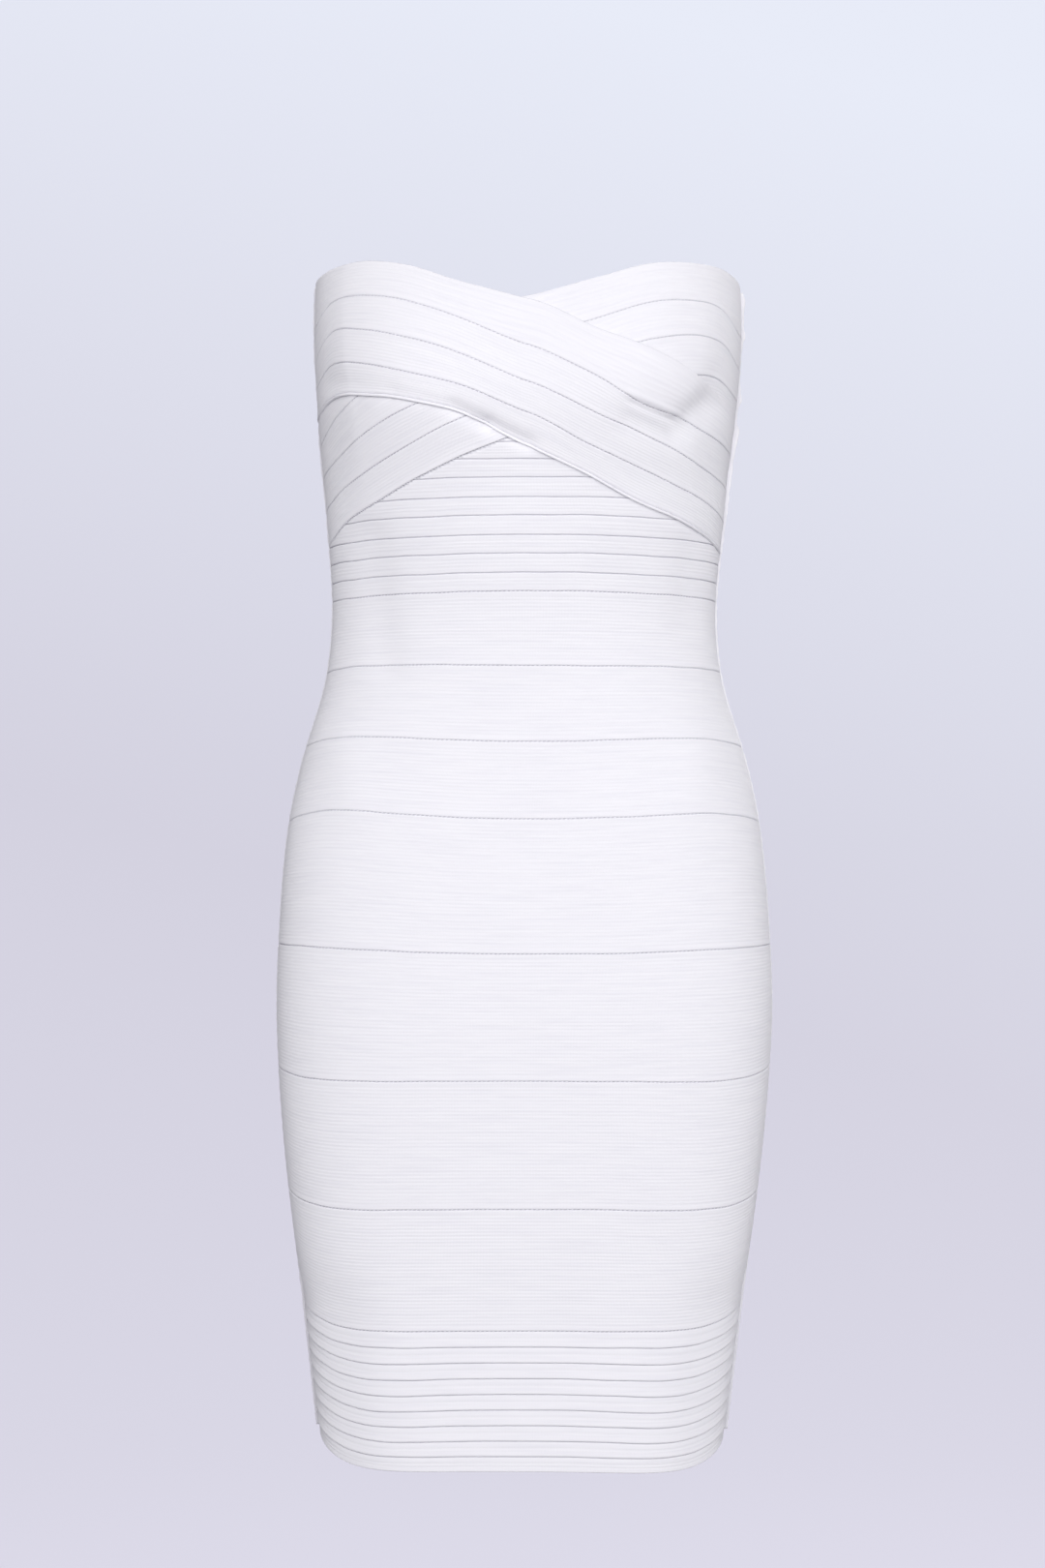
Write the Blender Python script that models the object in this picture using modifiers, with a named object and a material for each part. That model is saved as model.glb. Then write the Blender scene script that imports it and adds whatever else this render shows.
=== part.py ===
"""Strapless bodycon dress of joined bandage strips, hollow, in its worn form.

Metres, +Z up. The front faces -Y and the wearer's right is -X. The origin is on the
wearer's axis at the chest, where the bust grips the body and holds the dress up.
Angles run round the body in degrees: 0 is the right side seam, 90 the centre front,
180 the left side seam, 270 the centre back and 360 the right side seam again.
"""
import math
from functools import lru_cache
from typing import NamedTuple

import bmesh
import bpy
from mathutils import Matrix, Vector

MM = 0.001

# Steps, in degrees and millimetres, over which the form's slope is read.
ANGLE_STEP = 0.8
HEIGHT_STEP = 1.5

# Cloth, in millimetres. Level 0 is the outer face of the cloth; levels grow outwards.
WALL = 1.8
GROOVE = 0.6
SEAM_GAP = 0.32
WRAP_LIFT = 2.7
ROLLED_EDGE = 0.9
RIM = 2.2
WRAP_STRIP = 22.0
BODICE_STRIP = 45.0
TALL_STRIP = 60.0

# Lofts: steps round the body.
WRAP_COLUMNS = 28
FRONT_COLUMNS = 18
BACK_COLUMNS = 8

# Narrow strips in the midriff inset and in the hem.
MIDRIFF_STRIPS = 9
HEM_STRIPS = 9
MIDRIFF_PITCH = 11.8
MIDRIFF_TUCK = 4.0
LEAST_STRIP = 0.35
HEM_SAG = 1.8
HEM_SAG_ANGLES = (57, 123)
HEM_SAG_REACH = 15.0

# Side seam ridges: half the seam's width inside and at its crest, and its heights.
SEAM_HALF_WIDTH = 1.4
SEAM_CREST_HALF_WIDTH = 0.8
SEAM_CREST = 1.0
LOOSE_SEAM_CREST = 1.9
LOOSE_SEAM_WAVE = 0.5
LOOSE_SEAM_PITCH = 27.0
LOOSE_SEAM_ENDS = (-165, -130)
SEAM_ROWS = 34

# Centre back zip.
ZIP_HALF_WIDTH = 2.5
ZIP_TOP = 8.0
ZIP_ROWS = 16
SLIDER_HEIGHT = -3.0
SLIDER_SIZE = (8.0, 2.6, 10.0)
BRIDGE_WIDTH = 2.2
BRIDGE_BAR = 1.2
WINDOW_DEPTH = 2.4
WINDOW_LENGTH = 5.0
PIN_RISE = 1.1
TAB_WIDTH = 6.4
TAB_LENGTH = 24.0
TAB_THICKNESS = 1.0
EYE_WIDTH = 3.6
EYE_BAR = 0.6
EYE_LENGTH = 3.6


class Section(NamedTuple):
    """Level section of the worn form: depths from the side seams, powers of its ovals."""

    height: float
    half_width: float
    front_depth: float
    back_depth: float
    front_power: float
    back_power: float
    lean: float


FORM = (
    Section(-760, 130.0, 98, 95, 3.0, 2.7, -0.4),
    Section(-740, 132.5, 98, 96, 3.0, 2.7, -0.4),
    Section(-640, 144.2, 102, 102, 2.9, 2.6, 0.0),
    Section(-540, 156.5, 106, 110, 2.8, 2.5, 0.6),
    Section(-460, 162.0, 108, 118, 2.7, 2.4, 1.2),
    Section(-400, 160.6, 106, 120, 2.6, 2.4, 1.2),
    Section(-335, 155.0, 100, 112, 2.5, 2.3, 1.0),
    Section(-290, 146.0, 94, 100, 2.3, 2.2, 1.0),
    Section(-235, 130.0, 88, 86, 2.1, 2.1, 0.8),
    Section(-188, 125.8, 87, 80, 2.0, 2.1, 1.0),
    Section(-125, 130.8, 94, 86, 2.1, 2.2, 2.0),
    Section(-65, 137.0, 100, 92, 2.2, 2.3, 2.9),
    Section(-10, 140.0, 98, 92, 2.3, 2.3, 3.6),
    Section(45, 138.5, 92, 88, 2.3, 2.3, 3.6),
)

# Bust cups: how far they stand forward, and their centres and reach.
CUP_DEPTH = 32.0
CUP_SIDE = 80.0
CUP_HEIGHT = -52.0
CUP_REACH_ACROSS = 52.0
CUP_REACH_UP = 54.0
CUP_REACH_DOWN = 40.0
CUP_SIDE_FADE = 1.6


class Ring(NamedTuple):
    """Height of a seam line at eight places round the body."""

    right_seam: float
    right_front: float
    front: float
    left_front: float
    left_seam: float
    left_back: float
    back: float
    right_back: float


FRONT_STATIONS = (0, 40, 90, 140, 180)
BACK_STATIONS = (180, 220, 270, 320, 360)

WAIST_TOP = Ring(-184, -182.5, -181, -182, -184, -183, -182, -183)
RINGS = (
    WAIST_TOP,
    Ring(-231, -227, -228, -228, -230, -229, -229, -229),
    Ring(-280, -273, -276, -274, -280, -276, -275, -276),
    Ring(-329, -320, -325, -322, -329, -324, -322, -324),
    Ring(-407, -407, -410, -408, -407, -407, -408, -407),
    Ring(-485, -491, -490, -491.5, -484, -489, -490, -489),
    Ring(-563, -572.5, -571, -573, -564, -571, -572, -571),
    Ring(-638, -649.5, -648, -649.5, -638, -648, -650, -648),
)
HEM = Ring(-724, -738, -737.5, -740, -727, -739, -741, -739)
HEM_TOP = RINGS[-1]



class BackLine(NamedTuple):
    """Height of a line that only the back has, at five places."""

    left_seam: float
    left_back: float
    back: float
    right_back: float
    right_seam: float


BACK_TOP = BackLine(20, 15, 9, 16, 24)
BACK_BODICE = BackLine(-27, -30, -33, -30, -27)
BACK_MIDRIFF = BackLine(-75, -75.5, -76, -75.5, -75)


class WrapRow(NamedTuple):
    """Heights of a wrap's edges and of the three seams between its strips, at one angle."""

    angle: float
    upper: float
    seam_1: float
    seam_2: float
    seam_3: float
    lower: float


OVER_WRAP = (
    WrapRow(0, 24, -9, -34, -52, -66),
    WrapRow(15, 26, -4, -25, -43, -62.5),
    WrapRow(30, 28.5, 6, -14, -35, -56.5),
    WrapRow(45, 30, 6.5, -16, -38, -58.5),
    WrapRow(60, 25, 1, -23, -45.5, -63),
    WrapRow(75, 13.5, -11, -34, -54, -72),
    WrapRow(90, 2, -28, -51, -70, -91),
    WrapRow(105, -17, -47, -69, -89, -108),
    WrapRow(120, -29, -65, -83, -103, -123.5),
    WrapRow(135, -41, -72.5, -93, -113, -133),
    WrapRow(150, -52, -80, -102, -121, -141.5),
    WrapRow(165, -62, -86, -108, -128.5, -149),
    WrapRow(180, -69, -90, -112, -134, -153),
)
UNDER_WRAP = (
    WrapRow(0, -66, -86, -105, -127, -148),
    WrapRow(15, -58, -79, -100, -121, -143),
    WrapRow(30, -47, -66.5, -91, -112, -132.5),
    WrapRow(45, -34, -53, -78.5, -101, -123),
    WrapRow(60, -22, -42, -66, -88, -110),
    WrapRow(75, -8, -32, -54, -73.5, -96),
    WrapRow(90, 5, -21, -44, -65, -83),
    WrapRow(105, 17, -10.5, -34.5, -57, -75),
    WrapRow(120, 27, 0.5, -24, -50, -70),
    WrapRow(135, 29.5, 4, -19, -45, -66),
    WrapRow(150, 29, 1.5, -20.5, -44, -64),
    WrapRow(165, 25, -10, -31, -51.5, -66),
    WrapRow(180, 20, -13, -36, -54, -69),
)
# Near the side seams the wraps meet edge to edge; past this angle one lies on the other.
MEET_ANGLE = 10.0
LAP_ANGLE = 24.0
LAP_DEPTH = 200.0


# ---------------------------------------------------------------- curves
def spline(stations, values, at):
    """Smooth curve through values at rising stations, read at one place."""
    at = min(max(at, stations[0]), stations[-1])
    last = len(stations) - 1
    i = next(k for k in range(last) if at <= stations[k + 1])
    span = stations[i + 1] - stations[i]

    def slope(k):
        low, high = max(k - 1, 0), min(k + 1, last)
        return (values[high] - values[low]) / (stations[high] - stations[low])

    s = (at - stations[i]) / span
    rise, fall = s * s * (3 - 2 * s), (1 - s) ** 2
    start, end = slope(i) * span, slope(i + 1) * span
    return values[i] * (1 - rise) + values[i + 1] * rise + start * s * fall - end * s * s * (1 - s)


def ramp(value, start, end):
    """0 before start, 1 after end and a smooth step between."""
    s = min(max((value - start) / (end - start), 0.0), 1.0)
    return s * s * (3 - 2 * s)


def ring_line(ring, angle):
    """Height of a seam line at an angle."""
    if angle <= 180:
        return spline(FRONT_STATIONS, ring[:5], angle)
    return spline(BACK_STATIONS, ring[4:] + ring[:1], angle)


def ring(row):
    """The line of one row of a ring table, as a function of the angle."""
    return lambda angle: ring_line(row, angle)


def back_line(row):
    """The line of one row of back heights, as a function of the angle."""
    return lambda angle: spline(BACK_STATIONS, row, angle)


def wrap(rows, column):
    """One line of a wrap table, as a function of the angle."""
    stations = [row.angle for row in rows]
    heights = [getattr(row, column) for row in rows]
    return lambda angle: spline(stations, heights, angle)


# ---------------------------------------------------------------- worn form
@lru_cache(maxsize=None)
def section(height):
    """The form's section at a height, read smoothly between the rows of the table."""
    stations = [row.height for row in FORM]
    return Section(*(spline(stations, column, height) for column in zip(*FORM)))


def cup_depth(x, height):
    """How far the bust cups push the front forward."""
    reach = CUP_REACH_UP if height > CUP_HEIGHT else CUP_REACH_DOWN
    across = sum(math.exp(-0.5 * ((x - side) / CUP_REACH_ACROSS) ** 2) for side in (-CUP_SIDE, CUP_SIDE))
    return CUP_DEPTH * across * math.exp(-0.5 * ((height - CUP_HEIGHT) / reach) ** 2)


def form_point(angle, height):
    """Point of the outer face, in millimetres."""
    s = section(height)
    c, d = math.cos(math.radians(angle)), math.sin(math.radians(angle))
    power = s.front_power if d >= 0 else s.back_power
    x = -s.half_width * math.copysign(abs(c) ** (2 / power), c)
    out = abs(d) ** (2 / power)
    if d < 0:
        return Vector((x + s.lean, s.back_depth * out, height))
    return Vector((x + s.lean, -s.front_depth * out - cup_depth(x, height) * min(1.0, CUP_SIDE_FADE * out), height))


def cloth_point(angle, height, level):
    """Point of the cloth, moved out square to the form, in metres."""
    around = form_point(angle + ANGLE_STEP, height) - form_point(angle - ANGLE_STEP, height)
    up = form_point(angle, height + HEIGHT_STEP) - form_point(angle, height - HEIGHT_STEP)
    return (form_point(angle, height) + around.cross(up).normalized() * level) * MM


def side_angle(height, depth, back=False):
    """Angle at which the form is a given depth before or behind its side seam."""
    s = section(height)
    whole, power = (s.back_depth, s.back_power) if back else (s.front_depth, s.front_power)
    return math.degrees(math.asin((depth / whole) ** (power / 2)))


def centre_angle(height, offset):
    """Angle from the centre back at which the form is a given offset aside."""
    s = section(height)
    return math.degrees(math.asin((offset / s.half_width) ** (s.back_power / 2)))


SIDE_CLEARANCE = SEAM_HALF_WIDTH + SEAM_GAP


def front_span(height):
    """First and last angle of a front panel at a height."""
    edge = side_angle(height, SIDE_CLEARANCE)
    return edge, 180 - edge


def centre_offset(height):
    """Half the width left at the centre back, for the zip or for the seam below it."""
    return ZIP_HALF_WIDTH + SEAM_GAP if height > ring_line(RINGS[4], 270) else SEAM_GAP / 2


def left_back_span(height):
    """First and last angle of a left back panel at a height."""
    return 180 + side_angle(height, SIDE_CLEARANCE, True), 270 - centre_angle(height, centre_offset(height))


def right_back_span(height):
    """First and last angle of a right back panel at a height."""
    return 270 + centre_angle(height, centre_offset(height)), 360 - side_angle(height, SIDE_CLEARANCE, True)


# ---------------------------------------------------------------- building
def collection(name):
    """A new collection in the scene."""
    made = bpy.data.collections.new(name)
    bpy.context.scene.collection.children.link(made)
    return made


def finish(name, mesh, look, group):
    """Object with its own material from a bmesh or a mesh."""
    if isinstance(mesh, bmesh.types.BMesh):
        source, mesh = mesh, bpy.data.meshes.new(name)
        source.to_mesh(mesh)
        source.free()
    colour, roughness, metallic = look
    material = bpy.data.materials.new(name)
    material.use_nodes = True
    shader = material.node_tree.nodes["Principled BSDF"]
    shader.inputs["Base Color"].default_value = (*colour, 1)
    shader.inputs["Roughness"].default_value = roughness
    shader.inputs["Metallic"].default_value = metallic
    mesh.materials.append(material)
    made = bpy.data.objects.new(name, mesh)
    group.objects.link(made)
    return made


def loft(sections):
    """Closed body through closed sections with the same number of points."""
    body = bmesh.new()
    loops = [[body.verts.new(point) for point in points] for points in sections]
    count = len(loops[0])
    for near, far in zip(loops, loops[1:]):
        for k in range(count):
            body.faces.new((near[k], near[(k + 1) % count], far[(k + 1) % count], far[k]))
    caps = [body.faces.new(loops[0]), body.faces.new(loops[-1])]
    bmesh.ops.triangulate(body, faces=caps, ngon_method="EAR_CLIP")
    bmesh.ops.recalc_face_normals(body, faces=body.faces)
    return body


class Panel(NamedTuple):
    """Cloth between two lines: lines down it, its reach round the body and its relief."""

    name: str
    lines: tuple
    span: object
    columns: int
    shoulders: tuple
    inner_rows: int
    level: object = lambda angle: 0.0
    last_rim: float = 0.0


def strip_rows(heights, shoulders, last_rim):
    """Outer rows down a panel as (height, level): a groove at each line, shoulders between."""
    rows = []
    for top, bottom in zip(heights, heights[1:]):
        relief = min(1.0, (top - bottom) / (4 * LEAST_STRIP))
        rows.append((top, -GROOVE * relief))
        rows += [(top + (bottom - top) * part, lift * relief) for part, lift in shoulders]
    rows.append((heights[-1], -GROOVE))
    if last_rim:
        rows[-2] = (rows[-2][0], last_rim)
        rows[-1] = (heights[-1], last_rim / 2)
    return rows


def line_heights(panel, angle):
    """Heights of the panel's lines at an angle, each a little below the one above."""
    heights = [line(angle) for line in panel.lines]
    heights[0] -= SEAM_GAP / 2
    heights[-1] += SEAM_GAP / 2
    for k in range(1, len(heights)):
        heights[k] = min(heights[k], heights[k - 1] - LEAST_STRIP)
    return heights


def panel_section(panel, part):
    """Closed section of a panel at a part of its reach round the body."""
    middle = (panel.lines[0](90) + panel.lines[-1](90)) / 2
    start, end = panel.span(middle)
    nominal = start + (end - start) * part
    heights = line_heights(panel, nominal)
    level = panel.level(nominal)
    top, bottom = heights[0], heights[-1]
    inner = [(bottom + (top - bottom) * k / panel.inner_rows, -WALL) for k in range(panel.inner_rows + 1)]
    points = []
    for height, lift in strip_rows(heights, panel.shoulders, panel.last_rim) + inner:
        first, last = panel.span(height)
        points.append(cloth_point(first + (last - first) * part, height, level + lift))
    return points


def build_panel(panel, group):
    """One cloth panel as a closed wall, from section to section round the body."""
    sections = [panel_section(panel, k / panel.columns) for k in range(panel.columns + 1)]
    return finish(panel.name, loft(sections), CLOTH, group)


# ---------------------------------------------------------------- cloth
def wide_shoulders(height, rows):
    """Shoulders of a wide strip: a rim by each seam and plain rows between."""
    rim = RIM / height
    return tuple((rim + (1 - 2 * rim) * k / (rows - 1), 0.0) for k in range(rows))


NARROW = ((0.25, 0.0), (0.75, 0.0))
SHINGLED = ((0.22, -0.15), (0.8, 0.15))


def over_level(angle):
    """The over wrap rides up on the under wrap away from the side seams."""
    return WRAP_LIFT * ramp(angle, 1.0, MEET_ANGLE) * ramp(180 - angle, 1.0, MEET_ANGLE)


def lap(angle):
    """How far one wrap reaches under the other's edge: nothing by the side seams."""
    return -SEAM_GAP + (LAP_DEPTH + SEAM_GAP) * ramp(angle, MEET_ANGLE, LAP_ANGLE)


def build_wraps(group):
    """Two crossed bust wraps of four strips each; the right one lies over the left one."""
    columns = WrapRow._fields[1:]
    over = [wrap(OVER_WRAP, column) for column in columns]
    whole_under = [wrap(UNDER_WRAP, column) for column in columns]

    def under_upper(angle):
        return min(whole_under[0](angle), over[4](angle) + lap(angle))

    def under_lower(angle):
        return max(whole_under[4](angle), over[0](angle) - lap(180 - angle))

    under = [under_upper] + whole_under[1:4] + [under_lower]
    for k in range(4):
        shoulders = wide_shoulders(WRAP_STRIP, 3)
        rim = ROLLED_EDGE if k == 3 else 0.0
        name = f"over_wrap_band_{k + 1}"
        lines = tuple(over[k:k + 2])
        build_panel(Panel(name, lines, front_span, WRAP_COLUMNS, shoulders, 3, over_level, rim), group)
        name = f"under_wrap_band_{k + 1}"
        lines = tuple(under[k:k + 2])
        build_panel(Panel(name, lines, front_span, WRAP_COLUMNS, shoulders, 3), group)
    return over[4], under[4]


def build_front(group, over_lower, under_lower):
    """Midriff inset under the wraps, seven wide strips and the hem."""

    def midriff_top(angle):
        tuck = MIDRIFF_TUCK * ramp(180 - angle, MEET_ANGLE, LAP_ANGLE)
        return min(under_lower(angle), over_lower(angle) + tuck)

    def midriff_line(k):
        above = MIDRIFF_PITCH * (MIDRIFF_STRIPS - k)
        return lambda angle: min(midriff_top(angle), ring_line(WAIST_TOP, angle) + above)

    lines = (midriff_top,) + tuple(midriff_line(k) for k in range(1, MIDRIFF_STRIPS + 1))
    build_panel(Panel("front_midriff", lines, front_span, WRAP_COLUMNS, NARROW, 3), group)
    build_wide_strips("front", front_span, FRONT_COLUMNS, group)
    build_hem("front", front_span, FRONT_COLUMNS, group)


def build_wide_strips(side, span, columns, group):
    """The seven wide strips of a panel, from the midriff to the hem."""
    for k, (upper, lower) in enumerate(zip(RINGS, RINGS[1:])):
        height = upper.front - lower.front
        rows = 3 if height < TALL_STRIP else 4
        shoulders = wide_shoulders(height, rows + 1)
        panel = Panel(f"{side}_band_{k + 1}", (ring(upper), ring(lower)), span, columns, shoulders, rows)
        build_panel(panel, group)


def between(upper, lower, part):
    """A line part of the way down from one line to another."""
    return lambda angle: upper(angle) + (lower(angle) - upper(angle)) * part


def hem_line(part):
    """A line part of the way down the hem; those inside it sag a little over each thigh."""
    line = between(ring(HEM_TOP), ring(HEM), part)
    sag = HEM_SAG * math.sin(math.pi * part)
    return lambda angle: line(angle) - sag * sum(
        math.exp(-0.5 * ((angle - place) / HEM_SAG_REACH) ** 2) for place in HEM_SAG_ANGLES
    )


def build_hem(side, span, columns, group):
    """Hem of narrow strips that overlap a little like shingles."""
    lines = tuple(hem_line(k / HEM_STRIPS) for k in range(HEM_STRIPS + 1))
    build_panel(Panel(f"{side}_hem", lines, span, columns, SHINGLED, 4), group)


def build_back(side, span, group):
    """One back half: two wide bodice strips, midriff inset, wide strips and hem."""
    top, bodice, midriff = back_line(BACK_TOP), back_line(BACK_BODICE), back_line(BACK_MIDRIFF)
    shoulders = wide_shoulders(BODICE_STRIP, 3)
    for k, pair in enumerate(((top, bodice), (bodice, midriff))):
        build_panel(Panel(f"{side}_bodice_{k + 1}", pair, span, BACK_COLUMNS, shoulders, 3), group)
    lines = tuple(between(midriff, ring(WAIST_TOP), k / MIDRIFF_STRIPS) for k in range(MIDRIFF_STRIPS + 1))
    build_panel(Panel(f"{side}_midriff", lines, span, BACK_COLUMNS, NARROW, 4), group)
    build_wide_strips(side, span, BACK_COLUMNS, group)
    build_hem(side, span, BACK_COLUMNS, group)


def build_side_seam(name, side, top, bottom, crest, group):
    """Ridge of a side seam: a narrow bar between the panels that stands out along its crest."""
    sections = []
    for k in range(SEAM_ROWS + 1):
        height = top + (bottom - top) * k / SEAM_ROWS
        s = section(height)
        rise = crest(height)
        outline = (
            (-SEAM_HALF_WIDTH, -WALL),
            (-SEAM_HALF_WIDTH, 0),
            (-SEAM_CREST_HALF_WIDTH, rise),
            (SEAM_CREST_HALF_WIDTH, rise),
            (SEAM_HALF_WIDTH, 0),
            (SEAM_HALF_WIDTH, -WALL),
        )
        sections.append([Vector((side * (s.half_width + level) + s.lean, y, height)) * MM for y, level in outline])
    return finish(name, loft(sections), CLOTH, group)


def plain_crest(height):
    """Crest of the right side seam."""
    return SEAM_CREST


def loose_crest(height):
    """Crest of the left side seam, which puckers along the bust."""
    pucker = ramp(height, *LOOSE_SEAM_ENDS)
    wave = LOOSE_SEAM_WAVE * math.sin(2 * math.pi * height / LOOSE_SEAM_PITCH)
    return SEAM_CREST + (LOOSE_SEAM_CREST - SEAM_CREST + wave) * pucker


# ---------------------------------------------------------------- zip
def back_face(height):
    """How far back the cloth stands at the centre back."""
    return section(height).back_depth


def build_zip_coil(group):
    """Closed coil and tape that fill the opening between the back halves."""
    bottom = ring_line(RINGS[4], 270) + SEAM_GAP
    sections = []
    for k in range(ZIP_ROWS + 1):
        height = ZIP_TOP + (bottom - ZIP_TOP) * k / ZIP_ROWS
        lean, back = section(height).lean, back_face(height)
        outline = ((-1, -WALL), (-1, -0.4), (-0.6, 0), (0.6, 0), (1, -0.4), (1, -WALL))
        sections.append([Vector((lean + x * ZIP_HALF_WIDTH, back + y, height)) * MM for x, y in outline])
    return finish("zip_coil", loft(sections), COIL, group)


def cube(size, centre):
    """Box of a size in millimetres about a centre, as a bmesh."""
    body = bmesh.new()
    place = Matrix.Translation(Vector(centre) * MM) @ Matrix.Diagonal((*(s * MM for s in size), 1))
    bmesh.ops.create_cube(body, size=1, matrix=place)
    return body


def joined(made, other, operation, cutters):
    """Boolean of an object with a box that goes to the cutters."""
    other_mesh = bpy.data.meshes.new(f"{made.name}_cutter")
    other.to_mesh(other_mesh)
    other.free()
    cutter = bpy.data.objects.new(other_mesh.name, other_mesh)
    cutter.hide_render = True
    cutter.display_type = "WIRE"
    cutters.objects.link(cutter)
    boolean = made.modifiers.new(operation.title(), "BOOLEAN")
    boolean.operation = operation
    boolean.object = cutter


def bevel(made, width):
    """Rounded edges."""
    rounding = made.modifiers.new("Bevel", "BEVEL")
    rounding.width = width * MM
    rounding.segments = 1
    rounding.limit_method = "ANGLE"


def zip_pin():
    """Centre of the hinge pin, as x, y and height in millimetres."""
    outer_face = back_face(SLIDER_HEIGHT) + SEAM_GAP + SLIDER_SIZE[1]
    bottom = SLIDER_HEIGHT - WINDOW_LENGTH / 2
    return section(SLIDER_HEIGHT).lean, outer_face + WINDOW_DEPTH / 2, bottom + PIN_RISE


def build_slider(group, cutters):
    """Slider on the coil, with the bridge that carries the pull tab."""
    x, pin_y, _ = zip_pin()
    outer_face = pin_y - WINDOW_DEPTH / 2
    body = cube(SLIDER_SIZE, (x, outer_face - SLIDER_SIZE[1] / 2, SLIDER_HEIGHT))
    made = finish("zip_slider", body, METAL, group)
    bevel(made, 0.5)
    length = WINDOW_LENGTH + 2 * BRIDGE_BAR
    depth = WINDOW_DEPTH + BRIDGE_BAR
    bridge = cube((BRIDGE_WIDTH, depth + 1, length), (x, outer_face + depth / 2 - 0.5, SLIDER_HEIGHT))
    joined(made, bridge, "UNION", cutters)
    window = cube((BRIDGE_WIDTH * 2, WINDOW_DEPTH, WINDOW_LENGTH), (x, pin_y, SLIDER_HEIGHT))
    joined(made, window, "DIFFERENCE", cutters)
    return made


def build_tab(group, cutters):
    """Pull tab that hangs from the slider's bridge by its eye, with its origin on the pin."""
    x, y, z = zip_pin()
    plate = cube((TAB_WIDTH, TAB_THICKNESS, TAB_LENGTH), (0, 0, EYE_BAR - TAB_LENGTH / 2))
    corners = [edge for edge in plate.edges if abs(edge.verts[0].co.y - edge.verts[1].co.y) > 0.5 * MM]
    bmesh.ops.bevel(plate, geom=corners, offset=1.6 * MM, segments=3, affect="EDGES", profile=0.5)
    made = finish("zip_pull_tab", plate, METAL, group)
    made.location = Vector((x, y, z)) * MM
    eye = cube((EYE_WIDTH, TAB_THICKNESS * 3, EYE_LENGTH), (0, 0, -EYE_BAR - EYE_LENGTH / 2))
    joined(made, eye, "DIFFERENCE", cutters)
    cutters.objects[-1].location = made.location
    return made


CLOTH = ((0.90, 0.90, 0.93), 0.85, 0.0)
COIL = ((0.86, 0.86, 0.88), 0.6, 0.0)
METAL = ((0.78, 0.78, 0.80), 0.3, 1.0)


def main():
    """Build the dress."""
    for old in list(bpy.data.objects):
        bpy.data.objects.remove(old, do_unlink=True)
    dress = collection("bodycon_dress")
    cutters = collection("cutters")
    over_lower, under_lower = build_wraps(dress)
    build_front(dress, over_lower, under_lower)
    build_back("back_left", left_back_span, dress)
    build_back("back_right", right_back_span, dress)
    build_side_seam("side_seam_right", -1, BACK_TOP.right_seam, HEM.right_seam, plain_crest, dress)
    build_side_seam("side_seam_left", 1, BACK_TOP.left_seam, HEM.left_seam, loose_crest, dress)
    build_zip_coil(dress)
    build_slider(dress, cutters)
    build_tab(dress, cutters)


main()
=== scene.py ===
"""Looks of a strapless bandage dress: ribbed knit strips, seams, stitches, zip and studio.

The frame is in metres, +Z up, front to -Y. Tables and sizes below are in millimetres and
degrees. Angles run round the body: 0 is the right side seam, 90 the centre front, 180 the
left side seam, 270 the centre back and 360 the right side seam again. Level 0 is the outer
face of the cloth; levels grow outwards.
"""
import logging
from collections.abc import Callable, Mapping, Sequence
from dataclasses import dataclass
from enum import Enum
from functools import partial
from typing import NamedTuple

import bmesh
import bpy
import numpy as np
from bpy.types import ID, Material, Node, NodeSocket, NodeTree, Object
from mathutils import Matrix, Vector


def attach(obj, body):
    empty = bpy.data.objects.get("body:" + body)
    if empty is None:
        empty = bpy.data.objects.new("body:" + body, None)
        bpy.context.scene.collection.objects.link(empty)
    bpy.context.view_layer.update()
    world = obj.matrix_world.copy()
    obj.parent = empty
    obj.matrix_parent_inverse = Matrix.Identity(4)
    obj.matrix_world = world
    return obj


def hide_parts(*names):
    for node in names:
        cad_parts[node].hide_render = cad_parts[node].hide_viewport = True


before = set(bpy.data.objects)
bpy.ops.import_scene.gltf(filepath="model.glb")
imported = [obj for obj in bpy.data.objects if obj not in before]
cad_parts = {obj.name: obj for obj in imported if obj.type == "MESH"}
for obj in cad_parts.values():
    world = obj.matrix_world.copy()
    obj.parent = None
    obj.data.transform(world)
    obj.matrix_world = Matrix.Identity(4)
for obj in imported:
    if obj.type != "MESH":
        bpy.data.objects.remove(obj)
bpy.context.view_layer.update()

LOG = logging.getLogger("bandage_dress")

Array = np.ndarray
Pair = tuple[float, float]
Triple = tuple[float, float, float]
Row = tuple[float, ...]
Line = Callable[[Array], Array]
Span = Callable[[Array], tuple[Array, Array]]
Trims = Mapping[str, Sequence[Object]]

MM = 0.001
DRESS = "dress"
CLOTH_MAP = "cloth"
# Point attribute of painted shade: how far the knit's colour is darkened towards a grey.
PAINTED_SHADE = "valley"
OUTWARD = "outward"
FRONT = 90.0
WAVE_UNIT = 20 / (2 * np.pi)  # Blender's wave texture repeats 20 / 2 pi times in a unit


# ---- curves
def smooth(stations: Sequence[float], values: Sequence[float], at: Array) -> Array:
    """Read a smooth curve through values at rising stations.

    Args:
        stations: Where the values stand, rising.
        values: The curve's value at each station.
        at: Places to read, clamped to the stations' reach.

    Returns:
        The curve's values there.
    """
    x, y = np.asarray(stations, float), np.asarray(values, float)
    order = np.arange(len(x))
    low, high = np.maximum(order - 1, 0), np.minimum(order + 1, len(x) - 1)
    slopes = (y[high] - y[low]) / (x[high] - x[low])
    at = np.clip(at, x[0], x[-1])
    i = np.clip(np.searchsorted(x, at) - 1, 0, len(x) - 2)
    span = x[i + 1] - x[i]
    s = (at - x[i]) / span
    rise = s * s * (3 - 2 * s)
    start, end = slopes[i] * span, slopes[i + 1] * span
    return y[i] * (1 - rise) + y[i + 1] * rise + start * s * (1 - s) ** 2 - end * s * s * (1 - s)


def ramp(value: Array, start: float, end: float) -> Array:
    """Smooth step from 0 at start to 1 at end."""
    s = np.clip((np.asarray(value, float) - start) / (end - start), 0.0, 1.0)
    return s * s * (3 - 2 * s)


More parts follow.
